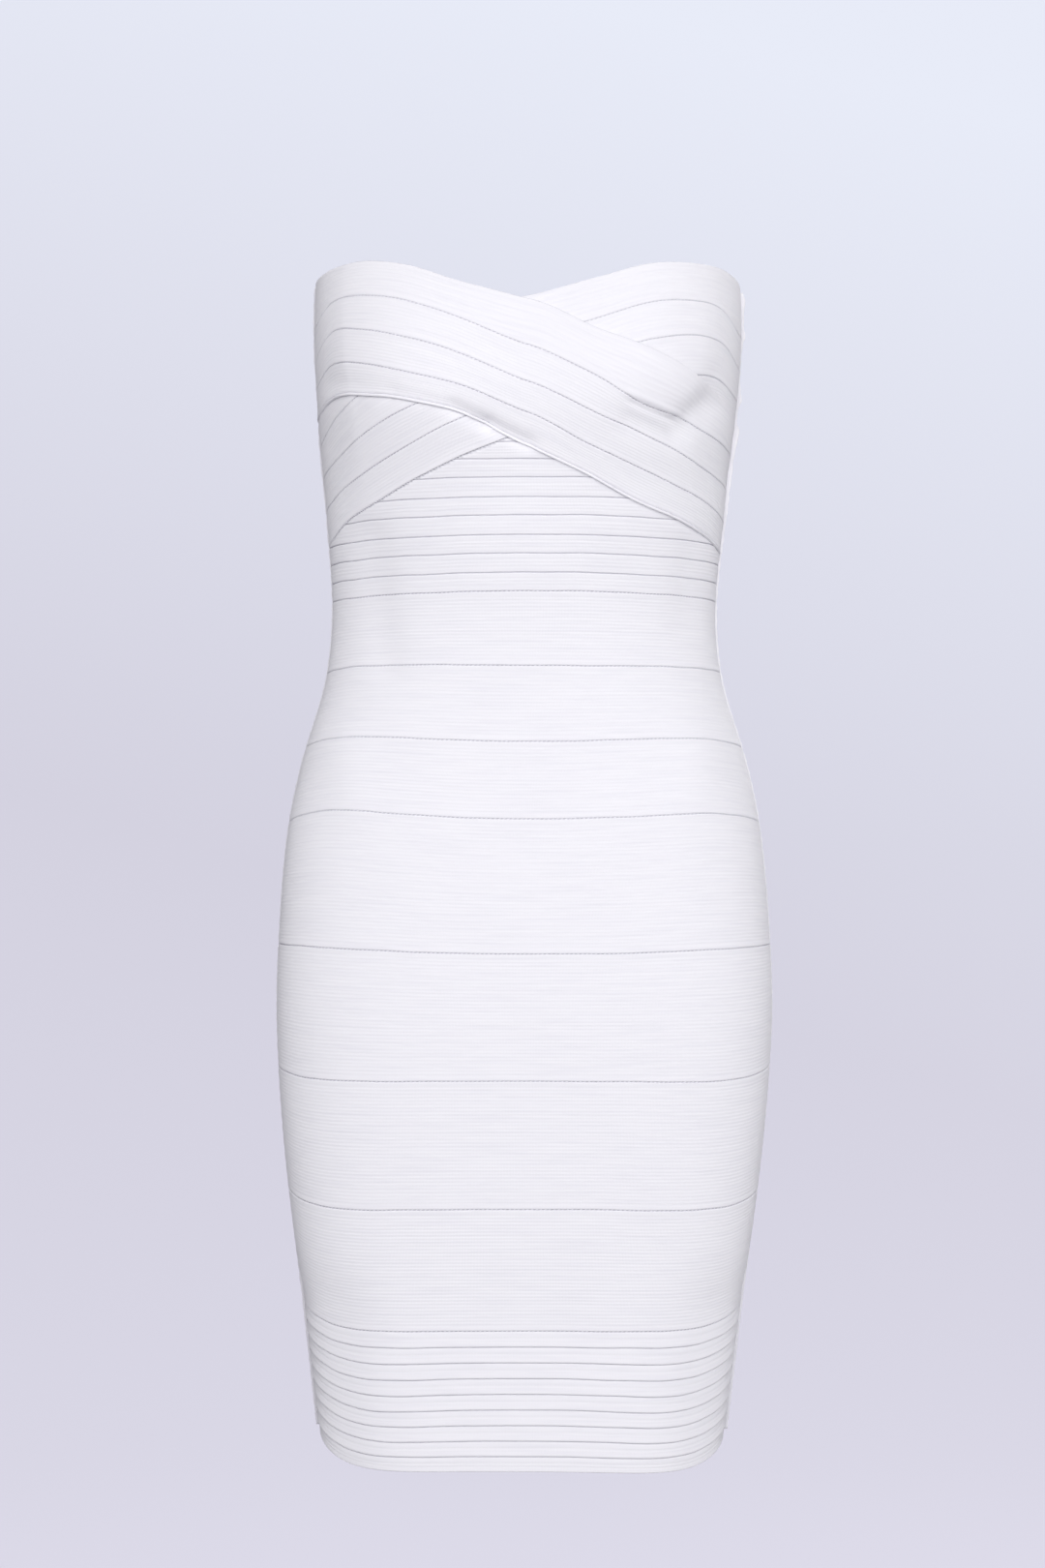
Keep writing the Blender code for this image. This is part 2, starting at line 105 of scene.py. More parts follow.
def flat(angle: Array) -> Array:
    """Level 0 all round."""
    return np.zeros_like(np.asarray(angle, float))


# ---- worn form
class Section(NamedTuple):
    """Level sections of the worn form: depths from the side seams, powers of the ovals."""

    half_width: Array
    front_depth: Array
    back_depth: Array
    front_power: Array
    back_power: Array
    lean: Array


@dataclass(frozen=True)
class WornForm:
    """The form that the stretched cloth takes, and where its points lie in space."""

    heights: Row = (-760, -740, -640, -540, -460, -400, -335, -290, -235, -188, -125, -65, -10, 45)
    half_width: Row = (130, 132.5, 144.2, 156.5, 162, 160.6, 155, 146, 130, 125.8, 130.8, 137, 140, 138.5)
    front_depth: Row = (98, 98, 102, 106, 108, 106, 100, 94, 88, 87, 94, 100, 98, 92)
    back_depth: Row = (95, 96, 102, 110, 118, 120, 112, 100, 86, 80, 86, 92, 92, 88)
    front_power: Row = (3.0, 3.0, 2.9, 2.8, 2.7, 2.6, 2.5, 2.3, 2.1, 2.0, 2.1, 2.2, 2.3, 2.3)
    back_power: Row = (2.7, 2.7, 2.6, 2.5, 2.4, 2.4, 2.3, 2.2, 2.1, 2.1, 2.2, 2.3, 2.3, 2.3)
    lean: Row = (-0.4, -0.4, 0, 0.6, 1.2, 1.2, 1.0, 1.0, 0.8, 1.0, 2.0, 2.9, 3.6, 3.6)
    cup_depth: float = 29.0
    cup_side: float = 80.0
    cup_height: float = -52.0
    cup_reach_across: float = 52.0
    cup_reach_up: float = 54.0
    cup_reach_down: float = 40.0
    cup_side_fade: float = 1.6
    bridge_depth: float = 9.0
    bridge_height: float = -150.0
    bridge_reach_up: float = 52.0
    bridge_reach_down: float = 85.0
    angle_step: float = 0.8
    height_step: float = 1.5

    def section(self, height: Array) -> Section:
        """The form's section at heights."""
        return Section(*(smooth(self.heights, getattr(self, name), height) for name in Section._fields))

    def cups(self, x: Array, height: Array) -> Array:
        """How far the bust cups push the front forward."""
        reach = np.where(height > self.cup_height, self.cup_reach_up, self.cup_reach_down)
        sides = (-self.cup_side, self.cup_side)
        across = sum(np.exp(-0.5 * ((x - side) / self.cup_reach_across) ** 2) for side in sides)
        return self.cup_depth * across * np.exp(-0.5 * ((height - self.cup_height) / reach) ** 2)

    def bridge(self, height: Array) -> Array:
        """How far the taut cloth stands off below the cups, where it spans to the ribs."""
        reach = np.where(height > self.bridge_height, self.bridge_reach_up, self.bridge_reach_down)
        return self.bridge_depth * np.exp(-(((height - self.bridge_height) / reach) ** 2))

    def point(self, angle: Array, height: Array) -> Array:
        """Points of the outer face in millimetres, with the axes last.

        Args:
            angle: Angles round the body.
            height: Heights.

        Returns:
            The points.
        """
        angle, height = np.broadcast_arrays(np.asarray(angle, float), np.asarray(height, float))
        s = self.section(height)
        c, d = np.cos(np.radians(angle)), np.sin(np.radians(angle))
        power = np.where(d >= 0, s.front_power, s.back_power)
        x = -s.half_width * np.sign(c) * np.abs(c) ** (2 / power)
        out = np.abs(d) ** (2 / power)
        cups = self.cups(x, height) * np.minimum(1.0, self.cup_side_fade * out)
        y = np.where(d < 0, s.back_depth * out, -s.front_depth * out - cups - self.bridge(height) * out ** 2)
        return np.stack((x + s.lean, y, height), axis=-1)

    def outward(self, angle: Array, height: Array) -> Array:
        """Unit vectors square to the outer face."""
        around = self.point(angle + self.angle_step, height) - self.point(angle - self.angle_step, height)
        up = self.point(angle, height + self.height_step) - self.point(angle, height - self.height_step)
        normal = np.cross(around, up)
        return normal / np.linalg.norm(normal, axis=-1, keepdims=True)

    def side_angle(self, height: Array, depth: float, back: bool = False) -> Array:
        """Angle at which the form is a depth before or behind its side seam.

        Args:
            height: Heights.
            depth: The depth.
            back: Whether it is behind the seam.

        Returns:
            The angles, counted from the seam.
        """
        s = self.section(height)
        whole, power = (s.back_depth, s.back_power) if back else (s.front_depth, s.front_power)
        return np.degrees(np.arcsin((depth / whole) ** (power / 2)))

    def centre_angle(self, height: Array, offset: Array) -> Array:
        """Angle from the centre back at which the form is an offset aside."""
        s = self.section(height)
        return np.degrees(np.arcsin((offset / s.half_width) ** (s.back_power / 2)))


FORM = WornForm()


@dataclass(frozen=True)
class Folds:
    """Soft creases of the stretched cloth, each given as it is seen square on.

    A row has x and z of the fold's start, x and z of its end, its depth, which is below 0
    for a trough and above 0 for a ridge, and its width.
    """

    side_fade: float = 8.0
    front: tuple[Row, ...] = (
        # Under the left cup the cloth turns in sharply, to the side too.
        (66, -57.8, 102, -70.6, 0.9, 1.8), (68, -64.3, 97, -74.8, -1.5, 2.7), (70, -76, 95, -84, -2.8, 9),
        (104, -77, 120, -61, -3.9, 9.5), (120, -61, 121, -45, -1.6, 9), (114, -80, 124, -98, -1.8, 16),
        (72, -76, 108, -71, -3.6, 22), (80, -104, 102, -106, -2.2, 20),
        # Hollow along the over wrap's rolled edge, where it bridges between the cups.
        (-80, -57, -52, -64.5, -1.0, 5), (-44, -66.6, -22, -77.2, -3.6, 4.8), (-22, -77.2, 4, -89, -3.8, 5),
        # Under the right cup and at its side.
        (-122, -46, -86, -56, -1.4, 7), (-122, -84, -104, -66, -0.9, 6),
        # It turns in beside the knees.
        (-124, -640, -114, -750, -3.6, 24), (124, -640, 114, -750, -3.6, 24),
        # Hollows at the waist and the rise of the hip bones.
        (-97, -146, -88, -226, -2.2, 13), (109, -150, 104, -202, -1.5, 11),
        (-114, -285, -108, -312, 2.0, 19), (112, -286, 110, -310, 1.8, 18),
        # Faint pulls over the thighs.
        (-34, -405, -14, -466, -0.5, 17), (42, -520, 58, -604, -0.45, 15), (-72, -560, -66, -640, -0.4, 13),
    )
    back: tuple[Row, ...] = (
        # Small of the back, seat and shoulder blades.
        (0, -165, 0, -262, -2.4, 20), (-78, -206, -22, -219, -1.2, 6), (26, -226, 84, -214, -1.1, 6.5),
        (-62, -238, -30, -246, -0.8, 5), (40, -196, 92, -186, -0.7, 5), (-24, -476, -82, -458, -1.3, 12),
        (26, -470, 78, -456, -1.2, 11), (0, -340, 0, -470, -1.8, 16), (30, -30, 88, -62, -0.8, 8),
        (-34, -40, -96, -78, -0.7, 7),
    )

    def level(self, points: Array) -> Array:
        """How far the folds move points of the form in or out.

        Args:
            points: Points of the form in millimetres, with the axes last.

        Returns:
            The distances.
        """
        x, y, z = np.moveaxis(points, -1, 0)
        total = np.zeros_like(x)
        for facing, table in ((-y, self.front), (y, self.back)):
            here = ramp(facing, -self.side_fade, self.side_fade)
            for x_start, z_start, x_end, z_end, depth, width in table:
                run, fall = x_end - x_start, z_end - z_start
                dx, dz = x - x_start, z - z_start
                part = np.clip((dx * run + dz * fall) / (run * run + fall * fall), 0, 1)
                gap = np.hypot(dx - part * run, dz - part * fall)
                total += depth * np.exp(-((gap / width) ** 2)) * here
        return total


FOLDS = Folds()


def cloth(angle: Array, height: Array, level: Array) -> Array:
    """Points of the folded cloth, in metres.

    Args:
        angle: Angles round the body, in degrees.
        height: Heights, in millimetres.
        level: Distance out of the outer face, in millimetres.

    Returns:
        The points, with the axes last.
    """
    base = FORM.point(angle, height)
    level = level + FOLDS.level(base)
    return (base + FORM.outward(angle, height) * level[..., None]) * MM


# ---- seam lines
FRONT_STATIONS = (0, 40, 90, 140, 180)
BACK_STATIONS = (180, 220, 270, 320, 360)


class Ring(NamedTuple):
    """Height of a seam line at eight places round the body."""

    right_seam: float
    right_front: float
    front: float
    left_front: float
    left_seam: float
    left_back: float
    back: float
    right_back: float

    def at(self, angle: Array) -> Array:
        """Heights of the line at angles."""
        front = smooth(FRONT_STATIONS, self[:5], angle)
        return np.where(angle <= 180, front, smooth(BACK_STATIONS, self[4:] + self[:1], angle))


class BackLine(NamedTuple):
    """Height of a line that only the back has, at five places."""

    left_seam: float
    left_back: float
    back: float
    right_back: float
    right_seam: float

    def at(self, angle: Array) -> Array:
        """Heights of the line at angles."""
        return smooth(BACK_STATIONS, self, angle)


RINGS = (
    Ring(-184, -182.5, -181, -182, -184, -183, -182, -183),
    Ring(-231, -227, -228, -228, -230, -229, -229, -229),
    Ring(-280, -273, -276, -274, -280, -276, -275, -276),
    Ring(-329, -320, -325, -322, -329, -324, -322, -324),
    Ring(-407, -407, -410, -408, -407, -407, -408, -407),
    Ring(-485, -491, -490, -491.5, -484, -489, -490, -489),
    Ring(-563, -572.5, -571, -573, -564, -571, -572, -571),
    Ring(-638, -649.5, -648, -649.5, -638, -648, -650, -648),
)
HEM = Ring(-724, -738, -737.5, -740, -727, -739, -741, -739)
BACK_LINES = (
    BackLine(20, 15, 9, 16, 24),
    BackLine(-27, -30, -33, -30, -27),
    BackLine(-75, -75.5, -76, -75.5, -75),
)

WRAP_ANGLES = tuple(range(0, 181, 15))
OVER_WRAP = (
    (24, 26, 28.5, 30, 25, 13.5, 2, -17, -29, -41, -52, -62, -69),
    (-9, -4, 6, 6.5, 1, -11, -28, -47, -65, -72.5, -80, -86, -90),
    (-34, -25, -14, -16, -23, -34, -51, -69, -83, -93, -102, -108, -112),
    (-52, -43, -35, -38, -45.5, -54, -70, -89, -103, -113, -121, -128.5, -134),
    (-66, -62.5, -56.5, -58.5, -63, -72, -91, -108, -123.5, -133, -141.5, -149, -153),
)
UNDER_WRAP = (
    (-66, -58, -47, -34, -22, -8, 5, 17, 27, 29.5, 29, 25, 20),
    (-86, -79, -66.5, -53, -42, -32, -21, -10.5, 0.5, 4, 1.5, -10, -13),
    (-105, -100, -91, -78.5, -66, -54, -44, -34.5, -24, -19, -20.5, -31, -36),
    (-127, -121, -112, -101, -88, -73.5, -65, -57, -50, -45, -44, -51.5, -54),
    (-148, -143, -132.5, -123, -110, -96, -83, -75, -70, -66, -64, -66, -69),
)


def wavering(line: Line, seed: int, swing: float = 0.14) -> Line:
    """A sewn line that strays a little from the line it follows.

    Args:
        line: The line that it follows.
        seed: Which of the ways to stray.
        swing: How far it strays, in millimetres.

    Returns:
        The strayed line.
    """
    rates = (6.1, 11.7, 21.3)
    phases = [seed * 2.399 + 1.7 * k for k in range(len(rates))]

    def strayed(angle: Array) -> Array:
        """The strayed line's heights."""
        angle = np.asarray(angle, float)
        turns = np.radians(angle)
        return line(angle) + swing * sum(np.sin(rate * turns + phase) for rate, phase in zip(rates, phases)) / 2

    return strayed


@dataclass(frozen=True)
class SeamLines:
    """All the lines along which the dress is joined."""

    seam_gap: float = 0.04
    meet_angle: float = 10.0
    lift_angle: float = 38.0
    lap_angle: float = 38.0
    lap_depth: float = 200.0
    wrap_lift: float = 1.75
    midriff_strips: int = 9
    midriff_pitch: float = 11.8
    midriff_stray: Row = (0, -1.9, -0.3, 0.2, -0.2, 0.3, -0.2, 0.1, -0.1, 0)
    midriff_tuck: float = 4.0
    hem_strips: int = 9
    hem_sag: float = 1.8
    hem_sag_angles: Row = (57, 123)
    hem_sag_reach: float = 15.0

    def over(self, k: int) -> Line:
        """Line k of the over wrap, from its upper edge to its lower one."""
        return wavering(partial(smooth, WRAP_ANGLES, OVER_WRAP[k]), k)

    def whole_under(self, k: int) -> Line:
        """Line k of the under wrap, also where the over wrap hides it."""
        return wavering(partial(smooth, WRAP_ANGLES, UNDER_WRAP[k]), 10 + k)

    def over_level(self, angle: Array) -> Array:
        """How far the over wrap rides up on the under wrap."""
        return self.wrap_lift * ramp(angle, 1, self.lift_angle) * ramp(180 - angle, 1, self.lift_angle)

    def lap(self, angle: Array) -> Array:
        """How far one wrap reaches under the other's edge."""
        return -self.seam_gap + (self.lap_depth + self.seam_gap) * ramp(angle, self.meet_angle, self.lap_angle)

    def under(self, k: int) -> Line:
        """Line k of the under wrap as it is cut by the over wrap near the side seams.

        Args:
            k: Which line, from its upper edge to its lower one.

        Returns:
            The line.
        """
        whole = self.whole_under(k)
        if k == 0:
            below = self.over(4)
            return lambda angle: np.minimum(whole(angle), below(angle) + self.lap(angle))
        if k == 4:
            above = self.over(0)
            return lambda angle: np.maximum(whole(angle), above(angle) - self.lap(180 - angle))
        return whole

    def midriff(self, k: int) -> Line:
        """Line k of the front midriff, counted down and not yet cut off by the wraps."""
        waist = self.ring(0)
        rise = self.midriff_pitch * (self.midriff_strips - k) + self.midriff_stray[k]
        return wavering(lambda angle: waist(angle) + rise, 20 + k, 0.08 if k < self.midriff_strips else 0)

    def midriff_top(self, angle: Array) -> Array:
        """Where the wraps cut the midriff off; it is tucked under the over wrap."""
        tuck = self.midriff_tuck * ramp(180 - angle, self.meet_angle, self.lap_angle)
        return np.minimum(self.under(4)(angle), self.over(4)(angle) + tuck)

    def ring(self, k: int) -> Line:
        """Ring k, from the waist to the top of the hem."""
        return wavering(RINGS[k].at, 30 + k)

    def back(self, k: int) -> Line:
        """Line k of those that only the back has, from the neckline to the midriff."""
        return wavering(BACK_LINES[k].at, 50 + k)

    def back_midriff(self, k: int) -> Line:
        """Line k of the back midriff."""
        upper, lower = self.back(2), self.ring(0)
        part = k / self.midriff_strips
        return lambda angle: upper(angle) + (lower(angle) - upper(angle)) * part

    def hem(self, k: int) -> Line:
        """Line k of the hem; those inside it sag a little over each thigh.

        Args:
            k: Which line, from its top down.

        Returns:
            The line.
        """
        upper, lower = self.ring(7), HEM.at
        part = k / self.hem_strips

        def line(angle: Array) -> Array:
            """The sagging line's heights."""
            dips = sum(np.exp(-0.5 * ((angle - at) / self.hem_sag_reach) ** 2) for at in self.hem_sag_angles)
            even = upper(angle) + (lower(angle) - upper(angle)) * part
            return even - self.hem_sag * np.sin(np.pi * part) * dips

        return wavering(line, 60 + k, 0.1 if 0 < k < self.hem_strips else 0)


LINES = SeamLines()


@dataclass(frozen=True)
class Spans:
    """How far round the body each panel reaches, in degrees at a height."""

    side_clearance: float = 1.42
    zip_half_width: float = 2.52
    seam_half_gap: float = 0.02

    def front(self, height: Array) -> tuple[Array, Array]:
        """From side seam to side seam across the front."""
        edge = FORM.side_angle(height, self.side_clearance)
        return edge, 180 - edge

    def half_back(self, height: Array) -> tuple[Array, Array]:
        """How far a back half stays clear of its side seam, and of the centre back with its zip or seam."""
        offset = np.where(height > RINGS[4].back, self.zip_half_width, self.seam_half_gap)
        return FORM.side_angle(height, self.side_clearance, back=True), FORM.centre_angle(height, offset)

    def left_back(self, height: Array) -> tuple[Array, Array]:
        """From the left side seam to the centre back."""
        side, centre = self.half_back(height)
        return 180 + side, 270 - centre

    def right_back(self, height: Array) -> tuple[Array, Array]:
        """From the centre back to the right side seam."""
        side, centre = self.half_back(height)
        return 270 + centre, 360 - side


SPANS = Spans()


# ---- meshes and nodes
def linear(code: str) -> tuple[float, float, float, float]:
    """Turn an sRGB hex colour to linear RGBA.

    Args:
        code: Six hex digits after a #.

    Returns:
        The linear colour with an alpha of 1.
    """
    parts = [int(code[i:i + 2], 16) / 255 for i in (1, 3, 5)]
    return (*(p / 12.92 if p <= 0.04045 else ((p + 0.055) / 1.055) ** 2.4 for p in parts), 1.0)


def add_node(
    tree: NodeTree, kind: str, inputs: dict | None = None, to: NodeSocket | None = None, **settings: object
) -> Node:
    """Add a node with its settings and links.

    Args:
        tree: The tree that gets the node.
        kind: The node's type name.
        inputs: For each input, by name or number, a value, a socket, or a node for its first live output.
        to: The input that takes the new node's first live output.
        **settings: The node's own properties.

    Returns:
        The new node.
    """
    made = tree.nodes.new(kind)
    for key, value in settings.items():
        setattr(made, key, value)
    for key, value in (inputs or {}).items():
        if isinstance(value, Node):
            value = next(socket for socket in value.outputs if socket.enabled)
        if isinstance(value, NodeSocket):
            tree.links.new(value, made.inputs[key])
        else:
            made.inputs[key].default_value = value
    if to is not None:
        tree.links.new(next(socket for socket in made.outputs if socket.enabled), to)
    return made


def new_material(name: str, sockets: dict) -> tuple[Material, Callable[..., Node], Node]:
    """A new material, what adds nodes to its tree, and its shader with constant sockets set.

    Args:
        name: The finish's name.
        sockets: Values that are the same all over, by the shader's input.

    Returns:
        The material, the function that adds a node to it, and its shader.
    """
    made = bpy.data.materials.new(name)
    made.use_nodes = True
    made.node_tree.nodes.clear()
    add = partial(add_node, made.node_tree)
    shader = add("ShaderNodeBsdfPrincipled", sockets)
    add("ShaderNodeOutputMaterial", {"Surface": shader})
    return made, add, shader


def new_object(name: str, data: ID) -> Object:
    """An object of the scene, at the origin."""
    made = bpy.data.objects.new(name, data)
    bpy.context.scene.collection.objects.link(made)
    return made


def mesh_object(name: str, points: Array, uv: Array, material: Material, valley: Array | None = None) -> Object:
    """A closed tube of rings laid side by side, with a face over each end.

    Args:
        name: The object's name.
        points: Vertices in metres, a row for each place round the rings and a column for each ring.
        uv: Place on the cloth of each vertex, in metres.
        material: What the mesh is made of.
        valley: Painted shade at each vertex, more the deeper it lies in a seam or between ribs, from 0 to 1.

    Returns:
        The object, linked to the scene.
    """
    rows, columns = points.shape[:2]
    row, column = np.meshgrid(np.arange(rows), np.arange(columns - 1), indexing="ij")
    here, below = row * columns + column, (row + 1) % rows * columns + column
    quads = np.stack((here, below, below + 1, here + 1), axis=-1).reshape(-1, 4)
    ends = np.stack((np.arange(rows)[::-1] * columns, np.arange(rows) * columns + columns - 1))
    mesh = bpy.data.meshes.new(name)
    mesh.from_pydata(points.reshape(-1, 3), [], quads.tolist() + ends.tolist())
    mesh.shade_smooth()
    corners = np.zeros(len(mesh.loops), np.int32)
    mesh.loops.foreach_get("vertex_index", corners)
    layer = mesh.uv_layers.new(name=CLOTH_MAP)
    layer.uv.foreach_set("vector", uv.reshape(-1, 2)[corners].astype(np.float32).ravel())
    if valley is not None:
        mesh.attributes.new(PAINTED_SHADE, "FLOAT", "POINT").data.foreach_set("value", valley.astype(np.float32).ravel())
    mesh.materials.append(material)
    return new_object(name, mesh)


def hand_over(made: Object, slot: str, *stands_for: str) -> Object:
    """Let a finished piece ride on the dress in its solids' place, and report it.

    Args:
        made: The piece.
        slot: Not used.
        *stands_for: The CAD nodes that it replaces.

    Returns:
        The piece.
    """
    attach(made, DRESS)
    if stands_for:
        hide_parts(*stands_for)
    LOG.info("%s: %d triangles", made.name, triangles(made))
    return made


def triangles(piece: Object) -> int:
    """How many triangles a piece's faces make."""
    return sum(len(face.vertices) - 2 for face in piece.data.polygons)


# ---- finishes
@dataclass(frozen=True)
class KnitFinish:
    """Rayon, nylon and elastane bandage knit: matt, dense and faintly lustrous.

    The yarn is a soft cold white. Its ribs are in the meshes; loops along each rib and
    loose fibres are bumps, and rows of looser yarn show as faint streaks along the ribs.
    In seams, along sunk edges and on the inner face the colour is darkened to a grey:
    painted shade.
    """

    name: str = "rayon_nylon_elastane_bandage_knit"
    yarn: str = "#f6f5f9"
    loose_yarn: str = "#f2f1f6"
    # Grey that the yarn is darkened to in seams, sunk edges and on the inner face: painted shade.
    painted_shade_yarn: str = "#cccbd3"
    loop_pitch: float = 0.9
    loop_height: float = 0.05
    streak_length: float = 45.0
    streak_width: float = 2.2
    streak_share: Pair = (0.42, 0.7)
    fibre_size: float = 0.4
    roughness: float = 0.78

    def make(self) -> Material:
        """Build the material."""
        made, add, shader = new_material(self.name, {
            "Roughness": self.roughness, "Diffuse Roughness": 0.4, "Specular IOR Level": 0.3,
            "Sheen Weight": 0.06, "Sheen Roughness": 0.5,
        })
        place = add("ShaderNodeUVMap", uv_map=CLOTH_MAP)

        def scaled(across: float, down: float) -> Node:
            """The cloth's map with a step along the ribs and one across them as its units."""
            scale = (1 / (across * MM), 1 / (down * MM), 1)
            return add("ShaderNodeMapping", {"Vector": place, "Scale": scale})

        streaks = {"Vector": scaled(self.streak_length, self.streak_width), "Scale": 1.0}
        low, high = self.streak_share
        share = {"Value": add("ShaderNodeTexNoise", streaks), "From Min": low, "From Max": high}
        yarns = {"Factor": add("ShaderNodeMapRange", share), 6: linear(self.yarn), 7: linear(self.loose_yarn)}
        colour = add("ShaderNodeMix", yarns, data_type="RGBA")
        # Painted shade: darken the yarn towards the grey by the mesh's shade attribute.
        valley = add("ShaderNodeAttribute", attribute_name=PAINTED_SHADE).outputs["Fac"]
        painted_shades = {"Factor": valley, 6: colour, 7: linear(self.painted_shade_yarn)}
        add("ShaderNodeMix", painted_shades, shader.inputs["Base Color"], data_type="RGBA")
        along = scaled(self.loop_pitch * WAVE_UNIT, self.streak_width)
        row = {"Vector": along, "Scale": 1.0, "Distortion": 0.6, "Detail": 0.0}
        loops = add("ShaderNodeTexWave", row, wave_type="BANDS", bands_direction="X").outputs["Fac"]
        fibres = add("ShaderNodeTexNoise", {"Vector": scaled(self.fibre_size, self.fibre_size), "Scale": 1.0})
        height = add("ShaderNodeMath", {0: loops, 1: fibres}, operation="ADD")
        relief = {"Height": height, "Strength": 0.5, "Distance": self.loop_height * MM}
        add("ShaderNodeBump", relief, shader.inputs["Normal"])
        return made


class Pattern(Enum):
    """What makes a fine pattern: its node, and that node's inputs and settings."""

    GRAIN = ("ShaderNodeTexNoise", {"Detail": 2.0}, {})
    PLIES = ("ShaderNodeTexNoise", {"Detail": 1.0}, {})
    WEAVE = ("ShaderNodeTexWave", {"Distortion": 0.5}, {"wave_type": "BANDS", "bands_direction": "DIAGONAL"})


@dataclass(frozen=True)
class FineFinish:
    """A finish of one colour, with a fine pattern in its relief, its gloss or both.

    The grain is the pattern's size along each axis.
    """

    name: str
    colour: str
    roughness: float
    pattern: Pattern
    grain: Triple
    relief: float = 0.0
    relief_strength: float = 0.5
    gloss_swing: Pair | None = None
    sockets: tuple[tuple[str, float], ...] = ()

    def make(self) -> Material:
        """Build the material."""
        constants = {"Base Color": linear(self.colour), "Roughness": self.roughness, **dict(self.sockets)}
        made, add, shader = new_material(self.name, constants)
        place = add("ShaderNodeTexCoord").outputs["Object"]
        scale = tuple(1 / (size * MM) for size in self.grain)
        scaled = add("ShaderNodeMapping", {"Vector": place, "Scale": scale})
        kind, inputs, settings = self.pattern.value
        fine = add(kind, {"Vector": scaled, "Scale": 1.0, **inputs}, **settings).outputs["Fac"]
        if self.relief:
            relief = {"Height": fine, "Strength": self.relief_strength, "Distance": self.relief * MM}
            add("ShaderNodeBump", relief, shader.inputs["Normal"])
        if self.gloss_swing:
            low, high = (self.roughness + swing for swing in self.gloss_swing)
            gloss = {"Value": fine, "To Min": low, "To Max": high}
            add("ShaderNodeMapRange", gloss, shader.inputs["Roughness"])
        return made


# Sewing thread is smooth, a little shinier than the knit and finely twisted.
THREAD = FineFinish(
    "spun_polyester_thread", "#f4f3f8", roughness=0.55, pattern=Pattern.PLIES, grain=(0.4, 0.4, 0.4), relief=0.05
)
# The zip's coil is extruded: hard, satin and slightly clear.
COIL = FineFinish(
    "nylon_monofilament_coil", "#efeef3", roughness=0.36, pattern=Pattern.GRAIN,
    grain=(1 / 0.9, 1 / 0.9, 1 / 0.9), gloss_swing=(-0.08, 0.1), sockets=(("IOR", 1.53),),
)
# Herringbone tape is flat and matt; its bands are 1.25 mm apart, as coarse as they need to show.
TAPE = FineFinish(
    "woven_polyester_tape", "#efeef4", roughness=0.7, pattern=Pattern.WEAVE, grain=(3.456, 3.456, 3.456),
    relief=0.08,
)
# Nickel plate on die-cast zinc, brushed upright, is a soft bright metal with fine scratches.
NICKEL = FineFinish(
    "brushed_nickel_plated_zinc", "#d3d2d6", roughness=0.3, pattern=Pattern.GRAIN, grain=(0.12, 0.12, 4.8),
    relief=0.02, relief_strength=0.3, gloss_swing=(-0.08, 0.16), sockets=(("Metallic", 1.0),),
)


@dataclass(frozen=True)
class PaperFinish:
    """Seamless studio paper, matt, whose pale lavender grey is painted light: it glows of itself
    over a dark paper colour, a little lighter high up and to one side.
    """

    name: str = "matt_studio_paper"
    # Lightest and darkest tones of the painted glow.
    light: str = "#e9edf9"
    dark: str = "#d3d1df"
    pulp: str = "#5c5b60"
    lean: Triple = (0.13, 0.0, 0.42)
    lean_reach: Pair = (-0.25, 0.5)
    painted_glow: float = 0.94

    def make(self) -> Material:
        """Build the material."""
        made, add, shader = new_material(self.name, {
            "Base Color": linear(self.pulp), "Emission Strength": self.painted_glow, "Roughness": 0.95,
            "Specular IOR Level": 0.1,
        })
        place = add("ShaderNodeTexCoord").outputs["Object"]
        # Painted light: the glow grows lighter high up and to one side, along the lean.
        lean = add("ShaderNodeVectorMath", {0: place, 1: self.lean}, operation="DOT_PRODUCT")
        low, high = self.lean_reach
        share = {"Value": lean.outputs["Value"], "From Min": low, "From Max": high}
        painted_tones = {"Factor": add("ShaderNodeMapRange", share), 6: linear(self.dark), 7: linear(self.light)}
        add("ShaderNodeMix", painted_tones, shader.inputs["Emission Color"], data_type="RGBA")
        return made


# ---- knit panels
class Edge(Enum):
    """How a strip meets a line, as rows of distance from the line and level."""

    # Rows sunk deep enough also take painted shade, a darker line along each edge.
    JOINED = ((0.0, -0.95), (0.2, -0.85), (0.44, -0.1), (0.85, 0.12), (1.6, 0.0))
    FREE = ((0.0, -0.95), (0.08, -0.45), (0.32, -0.08), (0.8, 0.06), (1.3, 0.0))
    TURNED = ((0.0, -0.95), (0.14, -0.8), (0.38, -0.72), (0.62, 0.05), (0.95, 0.16), (1.5, 0.0))
    ROLLED = (
        (0.0, -1.1), (0.08, -0.3), (0.35, 0.3), (0.85, 0.56), (1.3, 0.4), (1.65, -0.4),
        (1.95, -0.85), (2.3, -0.5), (2.9, 0.0),
    )
    LIP = ((0.0, -0.95), (0.1, -0.1), (0.35, 0.5), (0.9, 0.74), (1.8, 0.6), (3.2, 0.25))
    TUCKED = ((0.0, -0.95), (0.22, -0.8), (0.48, -0.42), (1.1, -0.3), (2.2, -0.16))

    @property
    def reach(self) -> float:
        """How far the edge's own form goes into the strip."""
        return self.value[-1][0]


